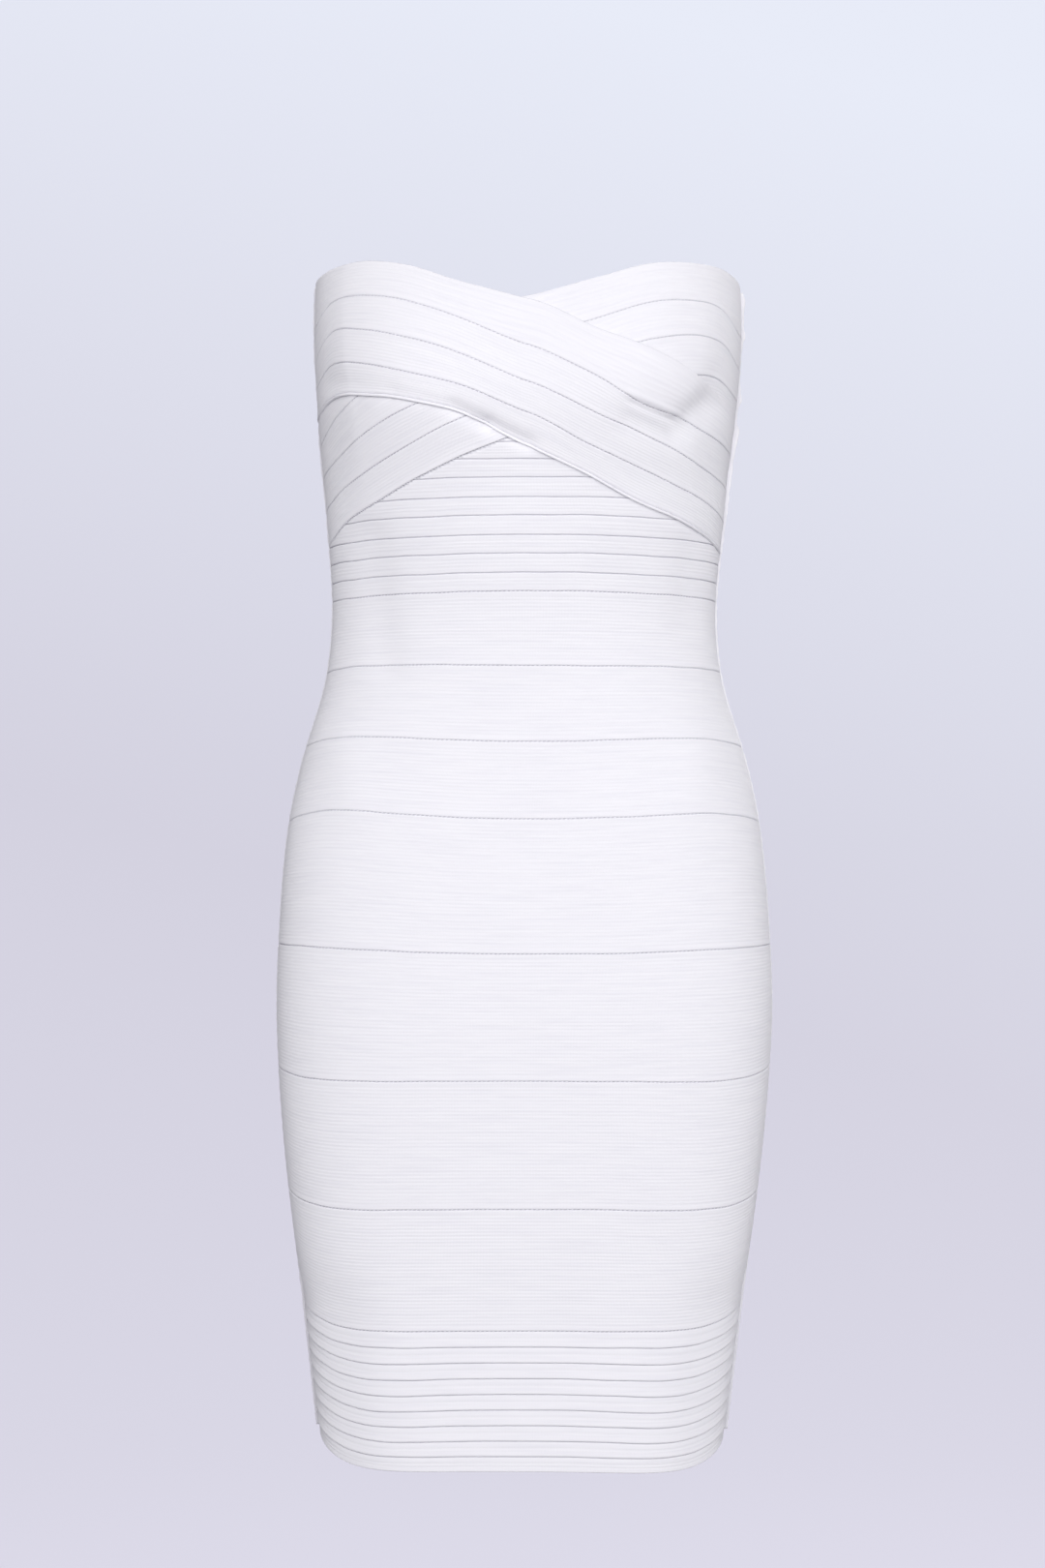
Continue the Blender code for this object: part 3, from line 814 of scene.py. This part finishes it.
@dataclass(frozen=True)
class Panel:
    """Knit strips between lines down a panel, ribbed outside and plain inside."""

    span: Span
    columns: int
    name: str
    lines: Sequence[Line]
    strip: float
    top: Edge = Edge.JOINED
    bottom: Edge = Edge.JOINED
    under_line: Edge = Edge.JOINED
    over_line: Edge = Edge.JOINED
    level: Line = flat
    crown: float = 0.0
    cut_top: Line | None = None
    cut_bottom: Line | None = None
    cut_step: float = 0.003
    cut_depth: float = 1.05
    cut_reach: Pair = (0.15, 0.62)
    # Sunk depths over which the knit's colour goes from no painted shade to full painted shade.
    painted_shade_reach: Pair = (0.4, 1.0)
    seed: int = 0
    rib_pitch: float = 2.2  # real ribs are 1.6 mm apart, drawn as coarse as they need to show
    rib_depth: float = 0.26
    rib_rows: Row = (0.0, 0.3, 0.7)
    rib_spread: Pair = (0.9, 1.1)
    rib_waves: Pair = (3, 9)
    rib_swing: float = 0.1
    rib_room: float = 0.6
    edge_room: float = 1.5
    flat_strips: float = 4.0
    wall: float = 1.8
    inner_rows: int = 5
    least_strip: float = 0.35
    stretch: float = 1.15
    measures: int = 1441

    def shares(self, middle: float) -> Array:
        """Shares of the span at which columns stand evenly along the cloth.

        Args:
            middle: Height at which they are measured.

        Returns:
            The shares, from 0 to 1.
        """
        fine = np.linspace(0, 1, self.measures)
        first, last = self.span(np.array(middle))
        run = FORM.point(first + (last - first) * fine, middle)
        length = np.concatenate(([0], np.cumsum(np.linalg.norm(np.diff(run, axis=0), axis=1))))
        return np.interp(np.linspace(0, length[-1], self.columns + 1), length, fine)

    def line_heights(self, angle: Array) -> Array:
        """Heights of the lines at angles, each a little below the one above.

        Args:
            angle: Angles of the columns.

        Returns:
            A row of heights for each line.
        """
        heights = np.array([line(angle) for line in self.lines])
        heights[0] -= LINES.seam_gap / 2
        heights[-1] += LINES.seam_gap / 2
        for k in range(1, len(heights)):
            heights[k] = np.minimum(heights[k], heights[k - 1] - self.least_strip)
        return heights

    def strip_rows(
        self, top: Array, bottom: Array, upper: Edge, lower: Edge, angle: Array, chance: np.random.Generator
    ) -> list[tuple[Array, Array]]:
        """Rows down one strip.

        Args:
            top: Heights of the line above it.
            bottom: Heights of the line below it.
            upper: How it meets the line above.
            lower: How it meets the line below.
            angle: Angles of the columns.
            chance: Where each rib's own depth and wave come from.

        Returns:
            Heights and levels of each row.
        """
        height, reach = top - bottom, upper.reach + lower.reach
        squeeze = np.minimum(1.0, height / (self.edge_room * reach))
        relief = np.minimum(1.0, height / (self.flat_strips * self.least_strip))
        fade = np.clip(height / (self.rib_room * self.strip), 0, 1)
        start, zone = top - squeeze * upper.reach, height - squeeze * reach
        first, last = upper.value[-1][1], lower.value[-1][1]
        ribs = max(2, round((self.strip - reach) / self.rib_pitch))
        rows = [(top - squeeze * d, lift * relief) for d, lift in upper.value]
        for rib in range(ribs):
            depth = self.rib_depth * chance.uniform(*self.rib_spread)
            turns = np.radians(angle) * chance.uniform(*self.rib_waves) + chance.uniform(0, 6.28)
            for part in self.rib_rows[(0 if rib else 1):]:
                at = (rib + part) / ribs
                sunk = 0.0 if part else depth * (1 + self.rib_swing * np.sin(turns)) * fade
                bulge = self.crown * 4 * at * (1 - at) + first + (last - first) * at
                rows.append((start - zone * at, bulge * relief - sunk))
        return rows + [(bottom + squeeze * d, lift * relief) for d, lift in reversed(lower.value)]

    def outer_face(self, angle: Array) -> tuple[Array, Array]:
        """Heights and levels of the rows down all the strips.

        Args:
            angle: Angles of the columns.

        Returns:
            The heights, and the levels.
        """
        heights, chance = self.line_heights(angle), np.random.default_rng(self.seed)
        rows: list[tuple[Array, Array]] = []
        for k, (top, bottom) in enumerate(zip(heights, heights[1:])):
            upper = self.under_line if k else self.top
            lower = self.bottom if k == len(heights) - 2 else self.over_line
            rows += self.strip_rows(top, bottom, upper, lower, angle, chance)[min(k, 1):]
        return self.cut(*(np.array(part) for part in zip(*rows)), angle)

    def cut(self, height: Array, relief: Array, angle: Array) -> tuple[Array, Array]:
        """Cut the rows off where another strip's edge crosses them.

        Args:
            height: Heights of the outer rows, from the top down.
            relief: Their levels.
            angle: Angles of the columns.

        Returns:
            The heights and levels after the cut, with a seam's groove along it.
        """
        rank = np.arange(len(height))[:, None] * self.cut_step
        for line, way, steps in ((self.cut_top, 1, rank), (self.cut_bottom, -1, rank[::-1])):
            if line is None:
                continue
            inside = (line(angle) - height) * way
            relief = np.where(inside > 0, relief, 0.0) - self.cut_depth * (1 - ramp(inside, *self.cut_reach))
            height = way * np.minimum(way * height, way * line(angle) - steps)
        return height, relief

    def build(self, material: Material, trims: Trims) -> Object:
        """Build the panel's closed wall and hide the CAD part that it replaces.

        Args:
            material: The knit.
            trims: The seam bars, stitches and tape that go with each panel.

        Returns:
            The panel.
        """
        middle = float(sum(line(np.array(FRONT)) for line in (self.lines[0], self.lines[-1]))) / 2
        shares = self.shares(middle)
        first, last = self.span(np.array(middle))
        angle = first + (last - first) * shares
        outer, relief = self.outer_face(angle)
        inner = outer[-1] + (outer[0] - outer[-1]) * np.linspace(0, 1, self.inner_rows)[:, None]
        height = np.concatenate((outer, inner))
        relief = np.concatenate((relief, np.full_like(inner, -self.wall)))
        first, last = self.span(height)
        points = cloth(first + (last - first) * shares, height, relief + self.level(angle))
        along = np.linalg.norm(np.diff(points[len(outer) // 3], axis=0), axis=1)
        run = np.concatenate(([0], np.cumsum(along)))
        down = (self.line_heights(angle)[0] - height) * MM + self.seed
        uv = np.stack((np.broadcast_to(run, height.shape), down), axis=-1)
        # Painted shade from the rows' levels: none at the surface, full deep in seams and on the inner face.
        made = mesh_object(self.name, points, uv, material, ramp(-relief, *self.painted_shade_reach))
        hand_over(made, "knit", self.name.removeprefix("knit_"))
        sewn_on = list(trims.get(made.name, ()))
        return made


@dataclass(frozen=True)
class Wraps:
    """The two crossed bust wraps of four strips each."""

    strip: float = 24.0
    columns: int = 140
    wall: float = 1.6

    def panels(self) -> list[Panel]:
        """The eight strips."""
        panel, made = partial(Panel, SPANS.front, self.columns), []
        for k in range(4):
            over, under = ((lines(k), lines(k + 1)) for lines in (LINES.over, LINES.whole_under))
            turned, free = (Edge.JOINED, Edge.JOINED) if k else (Edge.TURNED, Edge.FREE)
            rolled, cut = (Edge.ROLLED, LINES.under(4)) if k == 3 else (Edge.JOINED, None)
            made.append(panel(
                f"knit_over_wrap_band_{k + 1}", over, self.strip, turned, rolled, level=LINES.over_level,
                wall=self.wall, seed=k + 1,
            ))
            made.append(panel(
                f"knit_under_wrap_band_{k + 1}", under, self.strip, free,
                cut_top=None if k else LINES.under(0), cut_bottom=cut, seed=k + 5,
            ))
        return made


@dataclass(frozen=True)
class Skirt:
    """Midriff, seven wide strips and hem of one panel of the dress."""

    side: str
    span: Span
    columns: int
    seed: int
    midriff: Callable[[int], Line]
    midriff_cut: Line | None = None
    midriff_crown: float = 0.22
    band_rib_depth: float = 0.22
    hem_strip: float = 9.9

    def panels(self) -> list[Panel]:
        """The panel's nine pieces."""
        panel, name = partial(Panel, self.span, self.columns), f"knit_{self.side}"
        made = [panel(
            f"{name}_midriff", [self.midriff(k) for k in range(LINES.midriff_strips + 1)], LINES.midriff_pitch,
            crown=self.midriff_crown, cut_top=self.midriff_cut, seed=self.seed,
        )]
        for k, (upper, lower) in enumerate(zip(RINGS, RINGS[1:])):
            made.append(panel(
                f"{name}_band_{k + 1}", (LINES.ring(k), LINES.ring(k + 1)), upper.front - lower.front,
                seed=self.seed + k + 1, rib_depth=self.band_rib_depth,
            ))
        made.append(panel(
            f"{name}_hem", [LINES.hem(k) for k in range(LINES.hem_strips + 1)], self.hem_strip,
            Edge.TUCKED, Edge.FREE, Edge.TUCKED, Edge.LIP, seed=self.seed + 9,
        ))
        return made


@dataclass(frozen=True)
class BackBodice:
    """The two wide strips at the top of a back half."""

    side: str
    span: Span
    columns: int
    seed: int
    strip: float = 44.0

    def panels(self) -> list[Panel]:
        """The two strips."""
        return [
            Panel(
                self.span, self.columns, f"knit_{self.side}_bodice_{k + 1}", (LINES.back(k), LINES.back(k + 1)),
                self.strip, top, seed=self.seed + k,
            )
            for k, top in enumerate((Edge.FREE, Edge.JOINED))
        ]


# ---- side seams
class Rises(NamedTuple):
    """How far a side seam's ridge stands out at heights up the dress."""

    heights: Row
    rises: Row


RIGHT_RISES = Rises(
    (-724, -400, -175, -144, -123, -104, -83, -65, -40, -29, 0, 24),
    (1.0, 1.0, 0.7, 0.9, 0.7, 1.1, 1.1, 0.5, 0.5, 0.9, 1.3, 1.3),
)
LEFT_RISES = Rises(
    (-727, -400, -175, -150, -131, -110, -89, -80, -70, -66, -58.5)
    + (-55, -51, -45, -36, -24, -15, -10, -3, 9, 15, 20),
    (1.2, 1.0, 1.3, 1.6, 1.9, 2.1, 2.1, 2.7, 3.6, 1.6, 1.2)
    + (2.0, 3.3, 2.0, 1.1, 0.9, 1.6, 3.1, 2.3, 2.6, 3.5, 2.2),
)


@dataclass(frozen=True)
class SideSeam:
    """Ridge of a side seam, which stands out further where its cloth is loose."""

    name: str
    side: int
    top: float
    bottom: float
    joints: Sequence[float]
    rises: Rises
    half_width: float = 1.2
    outline: tuple[Pair, ...] = (
        (-1, 0), (-1, 0.45), (-0.98, 0.8), (-0.8, 0.96), (0, 1), (0.8, 0.96), (0.98, 0.8), (1, 0.45), (1, 0),
    )
    nip: float = 0.35
    nip_reach: float = 2.0
    knots: tuple[Pair, ...] = ((9.0, 0.14), (3.7, 0.08))
    sway: float = 0.25
    sway_length: float = 19.0
    wall: float = 1.8
    row_step: float = 1.3

    def rise(self, height: Array) -> Array:
        """How far the ridge stands out at heights, with knots and a nip at each joint."""
        knots = sum(swing * np.sin(2 * np.pi * height / length + swing) for length, swing in self.knots)
        nips = np.minimum(1, sum(np.exp(-(((height - joint) / self.nip_reach) ** 2)) for joint in self.joints))
        return smooth(*self.rises, height) + knots - self.nip * nips

    def build(self, knit: Material) -> Object:
        """Build the ridge as a closed bar.

        Args:
            knit: What it is made of.

        Returns:
            The ridge.
        """
        height = np.linspace(self.top, self.bottom, round((self.top - self.bottom) / self.row_step) + 1)
        s = FORM.section(height)
        sway = self.sway * np.sin(2 * np.pi * height / self.sway_length + self.side)
        across, up = np.array(self.outline).T
        y = np.concatenate((across, [1, -1]))[:, None] * self.half_width + sway
        out = np.concatenate((up, [0, 0]))[:, None] * self.rise(height)
        out[-2:] = -self.wall
        x = self.side * (s.half_width + out) + s.lean
        points = np.stack(np.broadcast_arrays(x, y, height), axis=-1) * MM
        uv = np.stack(np.broadcast_arrays((self.top - height) * MM, y * MM + self.side), axis=-1)
        made = mesh_object(self.name, points[::-self.side], uv, knit)
        return hand_over(made, "knit", self.name.removeprefix("knit_"))


# ---- stitches
class Path(NamedTuple):
    """A line that stitches follow, and the way out of the cloth at its points."""

    points: Array
    outward: Array


def paths_along(
    line: Line, span: Span, depth: float, level: Line = flat, shown: Callable[[Array], Array] | None = None
) -> list[Path]:
    """Paths along the shown stretches of a seam line.

    Args:
        line: The seam line.
        span: The panel's reach round the body.
        depth: How deep the stitches lie in the cloth, below 0.
        level: The level of the cloth.
        shown: Which angles show.

    Returns:
        A path for each stretch that shows.
    """
    end_gap, step = 1.5, 1.2
    first, last = (float(v) for v in span(np.array(line(np.array(FRONT)))))
    angle = np.linspace(first + end_gap, last - end_gap, round((last - first) / step))
    height = line(angle)
    points, outward = cloth(angle, height, level(angle) + depth), FORM.outward(angle, height)
    seen = np.ones(len(angle), bool) if shown is None else shown(angle)
    breaks = np.flatnonzero(np.diff(seen.astype(int))) + 1
    parts = zip(*(np.split(values, breaks) for values in (points, outward, seen)))
    return [Path(p, o) for p, o, s in parts if s[0] and len(p) > 2]


@dataclass(frozen=True)
class Stitches:
    """Small stitches that one node tree sets along paths."""

    name: str
    pitch: float = 2.8
    length: float = 2.3
    width: float = 0.5
    height: float = 0.36
    slant: float = 16.0
    seed: int = 7
    slot: str = "knit"
    slant_spread: Pair = (0.75, 1.25)

    def sizes(self) -> dict[str, float]:
        """The tree's inputs, in metres and radians."""
        lengths = {"Pitch": self.pitch, "Length": self.length, "Width": self.width, "Height": self.height}
        return {name: size * MM for name, size in lengths.items()} | {"Slant": float(np.radians(self.slant))}

    def tree(self, material: Material) -> NodeTree:
        """Node tree that sets a small rounded stitch at each pitch along a curve.

        Args:
            material: What the stitches are made of.

        Returns:
            The tree, with an input for each size.
        """
        tree = bpy.data.node_groups.new(self.name, "GeometryNodeTree")
        for way in ("INPUT", "OUTPUT"):
            tree.interface.new_socket("Geometry", in_out=way, socket_type="NodeSocketGeometry")
        for label in self.sizes():
            tree.interface.new_socket(label, in_out="INPUT", socket_type="NodeSocketFloat")
        add = partial(add_node, tree)
        given = add("NodeGroupInput").outputs
        curve = add("GeometryNodeMeshToCurve", {"Mesh": given["Geometry"]})
        spaced = add("GeometryNodeResampleCurve", {"Curve": curve, "Length": given["Pitch"]}, mode="LENGTH")
        tangent = add("GeometryNodeInputTangent")
        along = add("FunctionNodeAlignRotationToVector", {"Vector": tangent}, axis="X")
        outward = add("GeometryNodeInputNamedAttribute", {"Name": OUTWARD}, data_type="FLOAT_VECTOR")
        facing = {"Rotation": along, "Vector": outward}
        upright = add("FunctionNodeAlignRotationToVector", facing, axis="Z", pivot_axis="X")
        low, high = self.slant_spread
        stray = add("FunctionNodeRandomValue", {2: low, 3: high, "Seed": self.seed}, data_type="FLOAT")
        turn = add("ShaderNodeMath", {0: given["Slant"], 1: stray}, operation="MULTIPLY")
        slanted = {"Rotation": upright, "Rotate By": add("ShaderNodeCombineXYZ", {"Z": turn})}
        sides = {"X": given["Length"], "Y": given["Width"], "Z": given["Height"]}
        set_out = add("GeometryNodeInstanceOnPoints", {
            "Points": spaced,
            "Instance": add("GeometryNodeMeshUVSphere", {"Segments": 6, "Rings": 3, "Radius": 0.5}),
            "Rotation": add("FunctionNodeRotateRotation", slanted, rotation_space="LOCAL"),
            "Scale": add("ShaderNodeCombineXYZ", sides),
        })
        real = add("GeometryNodeRealizeInstances", {"Geometry": set_out})
        rounded = add("GeometryNodeSetShadeSmooth", {"Geometry": real})
        dressed = add("GeometryNodeSetMaterial", {"Geometry": rounded, "Material": material})
        add("NodeGroupOutput", {"Geometry": dressed})
        return tree

    def build(self, paths: Sequence[Path], material: Material) -> Object:
        """Bake the stitches along the paths into one plain mesh.

        Args:
            paths: The lines that they follow.
            material: What they are made of.

        Returns:
            The stitches.
        """
        points, outward = (np.concatenate(part) for part in zip(*paths))
        ends = np.cumsum([len(path.points) for path in paths])
        order = np.arange(len(points))
        edges = np.delete(np.stack((order[:-1], order[1:]), axis=1), ends[:-1] - 1, axis=0)
        guide = bpy.data.meshes.new(f"{self.name}_guide")
        guide.from_pydata(points.tolist(), edges.tolist(), [])
        values = outward.astype(np.float32).ravel()
        guide.attributes.new(OUTWARD, "FLOAT_VECTOR", "POINT").data.foreach_set("vector", values)
        holder = new_object(guide.name, guide)
        modifier = holder.modifiers.new("Stitches", "NODES")
        modifier.node_group = self.tree(material)
        sizes = self.sizes()
        for socket in modifier.node_group.interface.items_tree:
            if socket.name in sizes:
                modifier[socket.identifier] = sizes[socket.name]
        mesh = bpy.data.meshes.new_from_object(holder.evaluated_get(bpy.context.evaluated_depsgraph_get()))
        bpy.data.objects.remove(holder)
        return hand_over(new_object(self.name, mesh), self.slot)


@dataclass(frozen=True)
class SeamSewing:
    """Linking stitches sunk in the seams, and whip stitches over the wraps' loose edges."""

    depth: float = -0.82
    whip_depth: float = -0.42
    hidden: float = 1.0
    beside_cup: Pair = (112, 142)

    def bare(self, line: Line) -> Callable[[Array], Array]:
        """Which angles of an under wrap's line the over wrap doesn't cover."""
        upper, lower, edge = LINES.over(0), LINES.over(4), self.hidden
        return lambda angle: (line(angle) > upper(angle) + edge) | (line(angle) < lower(angle) - edge)

    def wrap_paths(self) -> list[Path]:
        """Seams of the over wrap, and those of the under wrap that show."""
        paths = []
        for k in (1, 2, 3):
            paths += paths_along(LINES.over(k), SPANS.front, self.depth, LINES.over_level)
        for k in (1, 2, 3):
            paths += paths_along(LINES.under(k), SPANS.front, self.depth, shown=self.bare(LINES.under(k)))
        return paths

    def ring_paths(self) -> list[Path]:
        """Seams between the wide strips, all round."""
        backs = (SPANS.left_back, SPANS.right_back)
        sewn = [(LINES.ring(k), span) for k in range(len(RINGS)) for span in (SPANS.front, *backs)]
        sewn += [(LINES.back(k), span) for k in (1, 2) for span in backs]
        return [path for line, span in sewn for path in paths_along(line, span, self.depth)]

    def build(self, thread: Material) -> list[Object]:
        """Sew the wraps, the rings, the under wrap's lower edge and the over wrap beside the left cup."""
        edge, (start, end) = LINES.under(4), self.beside_cup
        below = paths_along(edge, SPANS.front, self.whip_depth, shown=self.bare(edge))
        beside = paths_along(
            LINES.over(1), SPANS.front, self.whip_depth, LINES.over_level, lambda at: (at > start) & (at < end)
        )
        whips = partial(Stitches, pitch=2.2)
        return [
            Stitches("wrap_linking_stitches").build(self.wrap_paths(), thread),
            Stitches("ring_linking_stitches", seed=11).build(self.ring_paths(), thread),
            whips("under_wrap_whip_stitches", length=2.1, height=0.55, slant=-26.0).build(below, thread),
            whips("over_wrap_whip_stitches", length=2.0, width=0.45, height=0.5, slant=28.0, seed=5).build(
                beside, thread
            ),
        ]


# ---- zip
@dataclass(frozen=True)
class Zip:
    """Centre back zip: tape, coil, slider and pull tab."""

    half_width: float = 2.5
    top: float = 8.0
    tape_outline: tuple[Pair, ...] = (
        (-1, -1.6), (-1, -0.75), (-0.55, -0.62), (0, -0.9), (0.55, -0.62), (1, -0.75), (1, -1.6),
    )
    tape_rows: int = 130
    coil_top: float = 6.5
    coil_end: float = 3.0
    coil_half_width: float = 1.25
    coil_aside: float = 0.45
    coil_level: float = -0.45
    coil_points: int = 140
    tooth_pitch: float = 1.3

    def centre(self, height: Array, across: float, level: float) -> Array:
        """Points of the zip at the centre back, in metres.

        Args:
            height: Heights.
            across: How far to the left they lie.
            level: How far out of the cloth.

        Returns:
            The points.
        """
        s = FORM.section(height)
        x, y, z = s.lean + across, s.back_depth, height
        fold = FOLDS.level(np.stack((x, y, z), axis=-1))
        return np.stack((x, y + level + fold, z), axis=-1) * MM

    def build_tape(self, tape: Material) -> Object:
        """Woven tape behind the coil, from edge to edge of the opening."""
        height = np.linspace(self.top, RINGS[4].back + LINES.seam_gap, self.tape_rows)
        points = np.array([self.centre(height, x * self.half_width, y) for x, y in self.tape_outline])
        return hand_over(mesh_object("zip_tape", points, points[..., [2, 0]], tape), "zip_coil", "zip_coil")

    def build_coil(self, coil: Material) -> Object:
        """Two rows of coil turns that mesh along the centre back."""
        height = np.linspace(self.coil_top, RINGS[4].back + self.coil_end, self.coil_points)
        paths = []
        for side, shift in ((-1, 0.0), (1, self.tooth_pitch / 2)):
            points = self.centre(height - shift, side * self.coil_half_width * self.coil_aside, self.coil_level)
            paths.append(Path(points, np.broadcast_to((0.0, 1.0, 0.0), points.shape)))
        turns = Stitches(
            "zip_coil_turns", self.tooth_pitch, length=0.85, width=self.coil_half_width * 1.5, height=0.8,
            slant=0.0, seed=3, slot="zip_coil",
        )
        return turns.build(paths, coil)

    def dress_hardware(self, metal: Material) -> None:
        """Give the slider and the pull tab their metal."""
        for name in ("zip_slider", "zip_pull_tab"):
            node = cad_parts[name]
            node.data.materials.clear()
            node.data.materials.append(metal)


# ---- studio
class Softbox(NamedTuple):
    """A square lamp: its place, size and power."""

    name: str
    place: Triple
    power: float
    size: float = 1.4


@dataclass(frozen=True)
class Studio:
    """Seamless paper, soft lamps and the camera, in metres."""

    floor: float = -1.28
    paper_radius: float = 4.4
    sweep: float = 1.6
    sweep_rows: int = 13
    wall_height: float = 6.0
    paper_columns: int = 96
    air: str = "#838288"
    target: Triple = (0.0, 0.0, -0.36)
    lamps: tuple[Softbox, ...] = (
        Softbox("key_softbox", (0.22, -2.8, 0.6), 34.0),
        Softbox("fill_softbox", (0.1, -2.9, -0.3), 23.5),
        Softbox("left_softbox", (-2.2, -1.9, 1.3), 9.5),
        Softbox("right_softbox", (2.2, -1.9, 1.3), 9.5),
        Softbox("left_side_softbox", (-2.8, -0.5, 0.0), 5.0),
        Softbox("right_side_softbox", (2.8, -0.5, 0.0), 5.5),
        Softbox("back_softbox", (0.5, 2.3, 1.7), 84.0),
    )
    camera_place: Triple = (0.0, -2.4, -0.303)
    lens: float = 83.73
    sensor: float = 36.0

    def build_paper(self) -> None:
        """Round floor that sweeps up into a wall all round, seen but casting nothing."""
        turn = np.linspace(-np.pi / 2, 0, self.sweep_rows)
        inner = self.paper_radius - self.sweep
        radius = np.concatenate(([0.0, inner * 0.5], inner + self.sweep * np.cos(turn), [self.paper_radius]))
        height = np.concatenate(([0, 0], self.sweep * (1 + np.sin(turn)), [self.wall_height])) + self.floor
        paper = bmesh.new()
        verts = [paper.verts.new((r, 0, z)) for r, z in zip(radius, height)]
        edges = [paper.edges.new(pair) for pair in zip(verts, verts[1:])]
        bmesh.ops.spin(
            paper, geom=verts + edges, axis=(0, 0, 1), cent=(0, 0, 0), steps=self.paper_columns, angle=2 * np.pi
        )
        bmesh.ops.remove_doubles(paper, verts=paper.verts, dist=0.0001)
        bmesh.ops.recalc_face_normals(paper, faces=paper.faces)
        mesh = bpy.data.meshes.new("studio_paper")
        paper.to_mesh(mesh)
        paper.free()
        mesh.shade_smooth()
        mesh.materials.append(PaperFinish().make())
        made = new_object(mesh.name, mesh)
        made.visible_diffuse = made.visible_glossy = made.visible_shadow = False

    def build_light(self) -> None:
        """Pale light from all round, and softboxes that face the dress."""
        world = bpy.data.worlds.new("studio_air")
        world.use_nodes = True
        world.node_tree.nodes["Background"].inputs["Color"].default_value = linear(self.air)
        bpy.context.scene.world = world
        for lamp in self.lamps:
            data = bpy.data.lights.new(lamp.name, "AREA")
            data.shape, data.size, data.energy = "SQUARE", lamp.size, lamp.power
            made = new_object(lamp.name, data)
            made.location = lamp.place
            made.rotation_euler = (Vector(self.target) - Vector(lamp.place)).to_track_quat("-Z", "Y").to_euler()
            made.visible_camera = False

    def build_camera(self) -> None:
        """Level camera square before the dress."""
        data = bpy.data.cameras.new("camera")
        data.sensor_width, data.lens, data.clip_end = self.sensor, self.lens, 100.0
        made = new_object("camera", data)
        made.location = self.camera_place
        made.rotation_euler = (np.pi / 2, 0, 0)
        bpy.context.scene.camera = made

    def build(self) -> None:
        """Set up the studio."""
        self.build_paper()
        self.build_light()
        self.build_camera()
        bpy.context.scene.view_settings.view_transform = "Standard"


@dataclass(frozen=True)
class Dress:
    """The whole dress: cloth, sewing and zip."""

    right_top: float = 24.0
    left_top: float = 20.0
    front_columns: int = 130
    back_columns: int = 64

    def build(self) -> list[Object]:
        """Build every sub-assembly in order, and return the pieces."""
        knit, thread = KnitFinish().make(), THREAD.make()
        wraps = OVER_WRAP + UNDER_WRAP
        joints = [row[0] for row in wraps + RINGS]
        right = SideSeam("knit_side_seam_right", -1, self.right_top, HEM.right_seam, joints, RIGHT_RISES)
        joints = [row[-1] for row in wraps] + [row.left_seam for row in RINGS]
        left = SideSeam("knit_side_seam_left", 1, self.left_top, HEM.left_seam, joints, LEFT_RISES)
        right, left = right.build(knit), left.build(knit)
        linking, rings, edge, beside = SeamSewing().build(thread)
        fastening = Zip()
        tape, coil = fastening.build_tape(TAPE.make()), fastening.build_coil(COIL.make())
        fastening.dress_hardware(NICKEL.make())
        trims = {
            "knit_over_wrap_band_1": (linking, beside),
            "knit_under_wrap_band_4": (edge,),
            "knit_front_band_1": (rings, right, left),
            "knit_back_left_bodice_1": (tape, coil),
        }
        panels = Wraps().panels()
        panels += Skirt("front", SPANS.front, self.front_columns, 100, LINES.midriff, LINES.midriff_top).panels()
        for side, span, seed in (("back_left", SPANS.left_back, 200), ("back_right", SPANS.right_back, 300)):
            panels += BackBodice(side, span, self.back_columns, seed).panels()
            panels += Skirt(side, span, self.back_columns, seed + 2, LINES.back_midriff).panels()
        made = [panel.build(knit, trims) for panel in panels]
        return [right, left, linking, rings, edge, beside, tape, coil, *made]


def main() -> None:
    """Build the dress and its studio."""
    logging.basicConfig(level=logging.INFO, format="%(name)s: %(message)s")
    pieces = Dress().build()
    LOG.info("dress: %d triangles added", sum(triangles(piece) for piece in pieces))
    Studio().build()


if __name__ == "__main__":
    main()
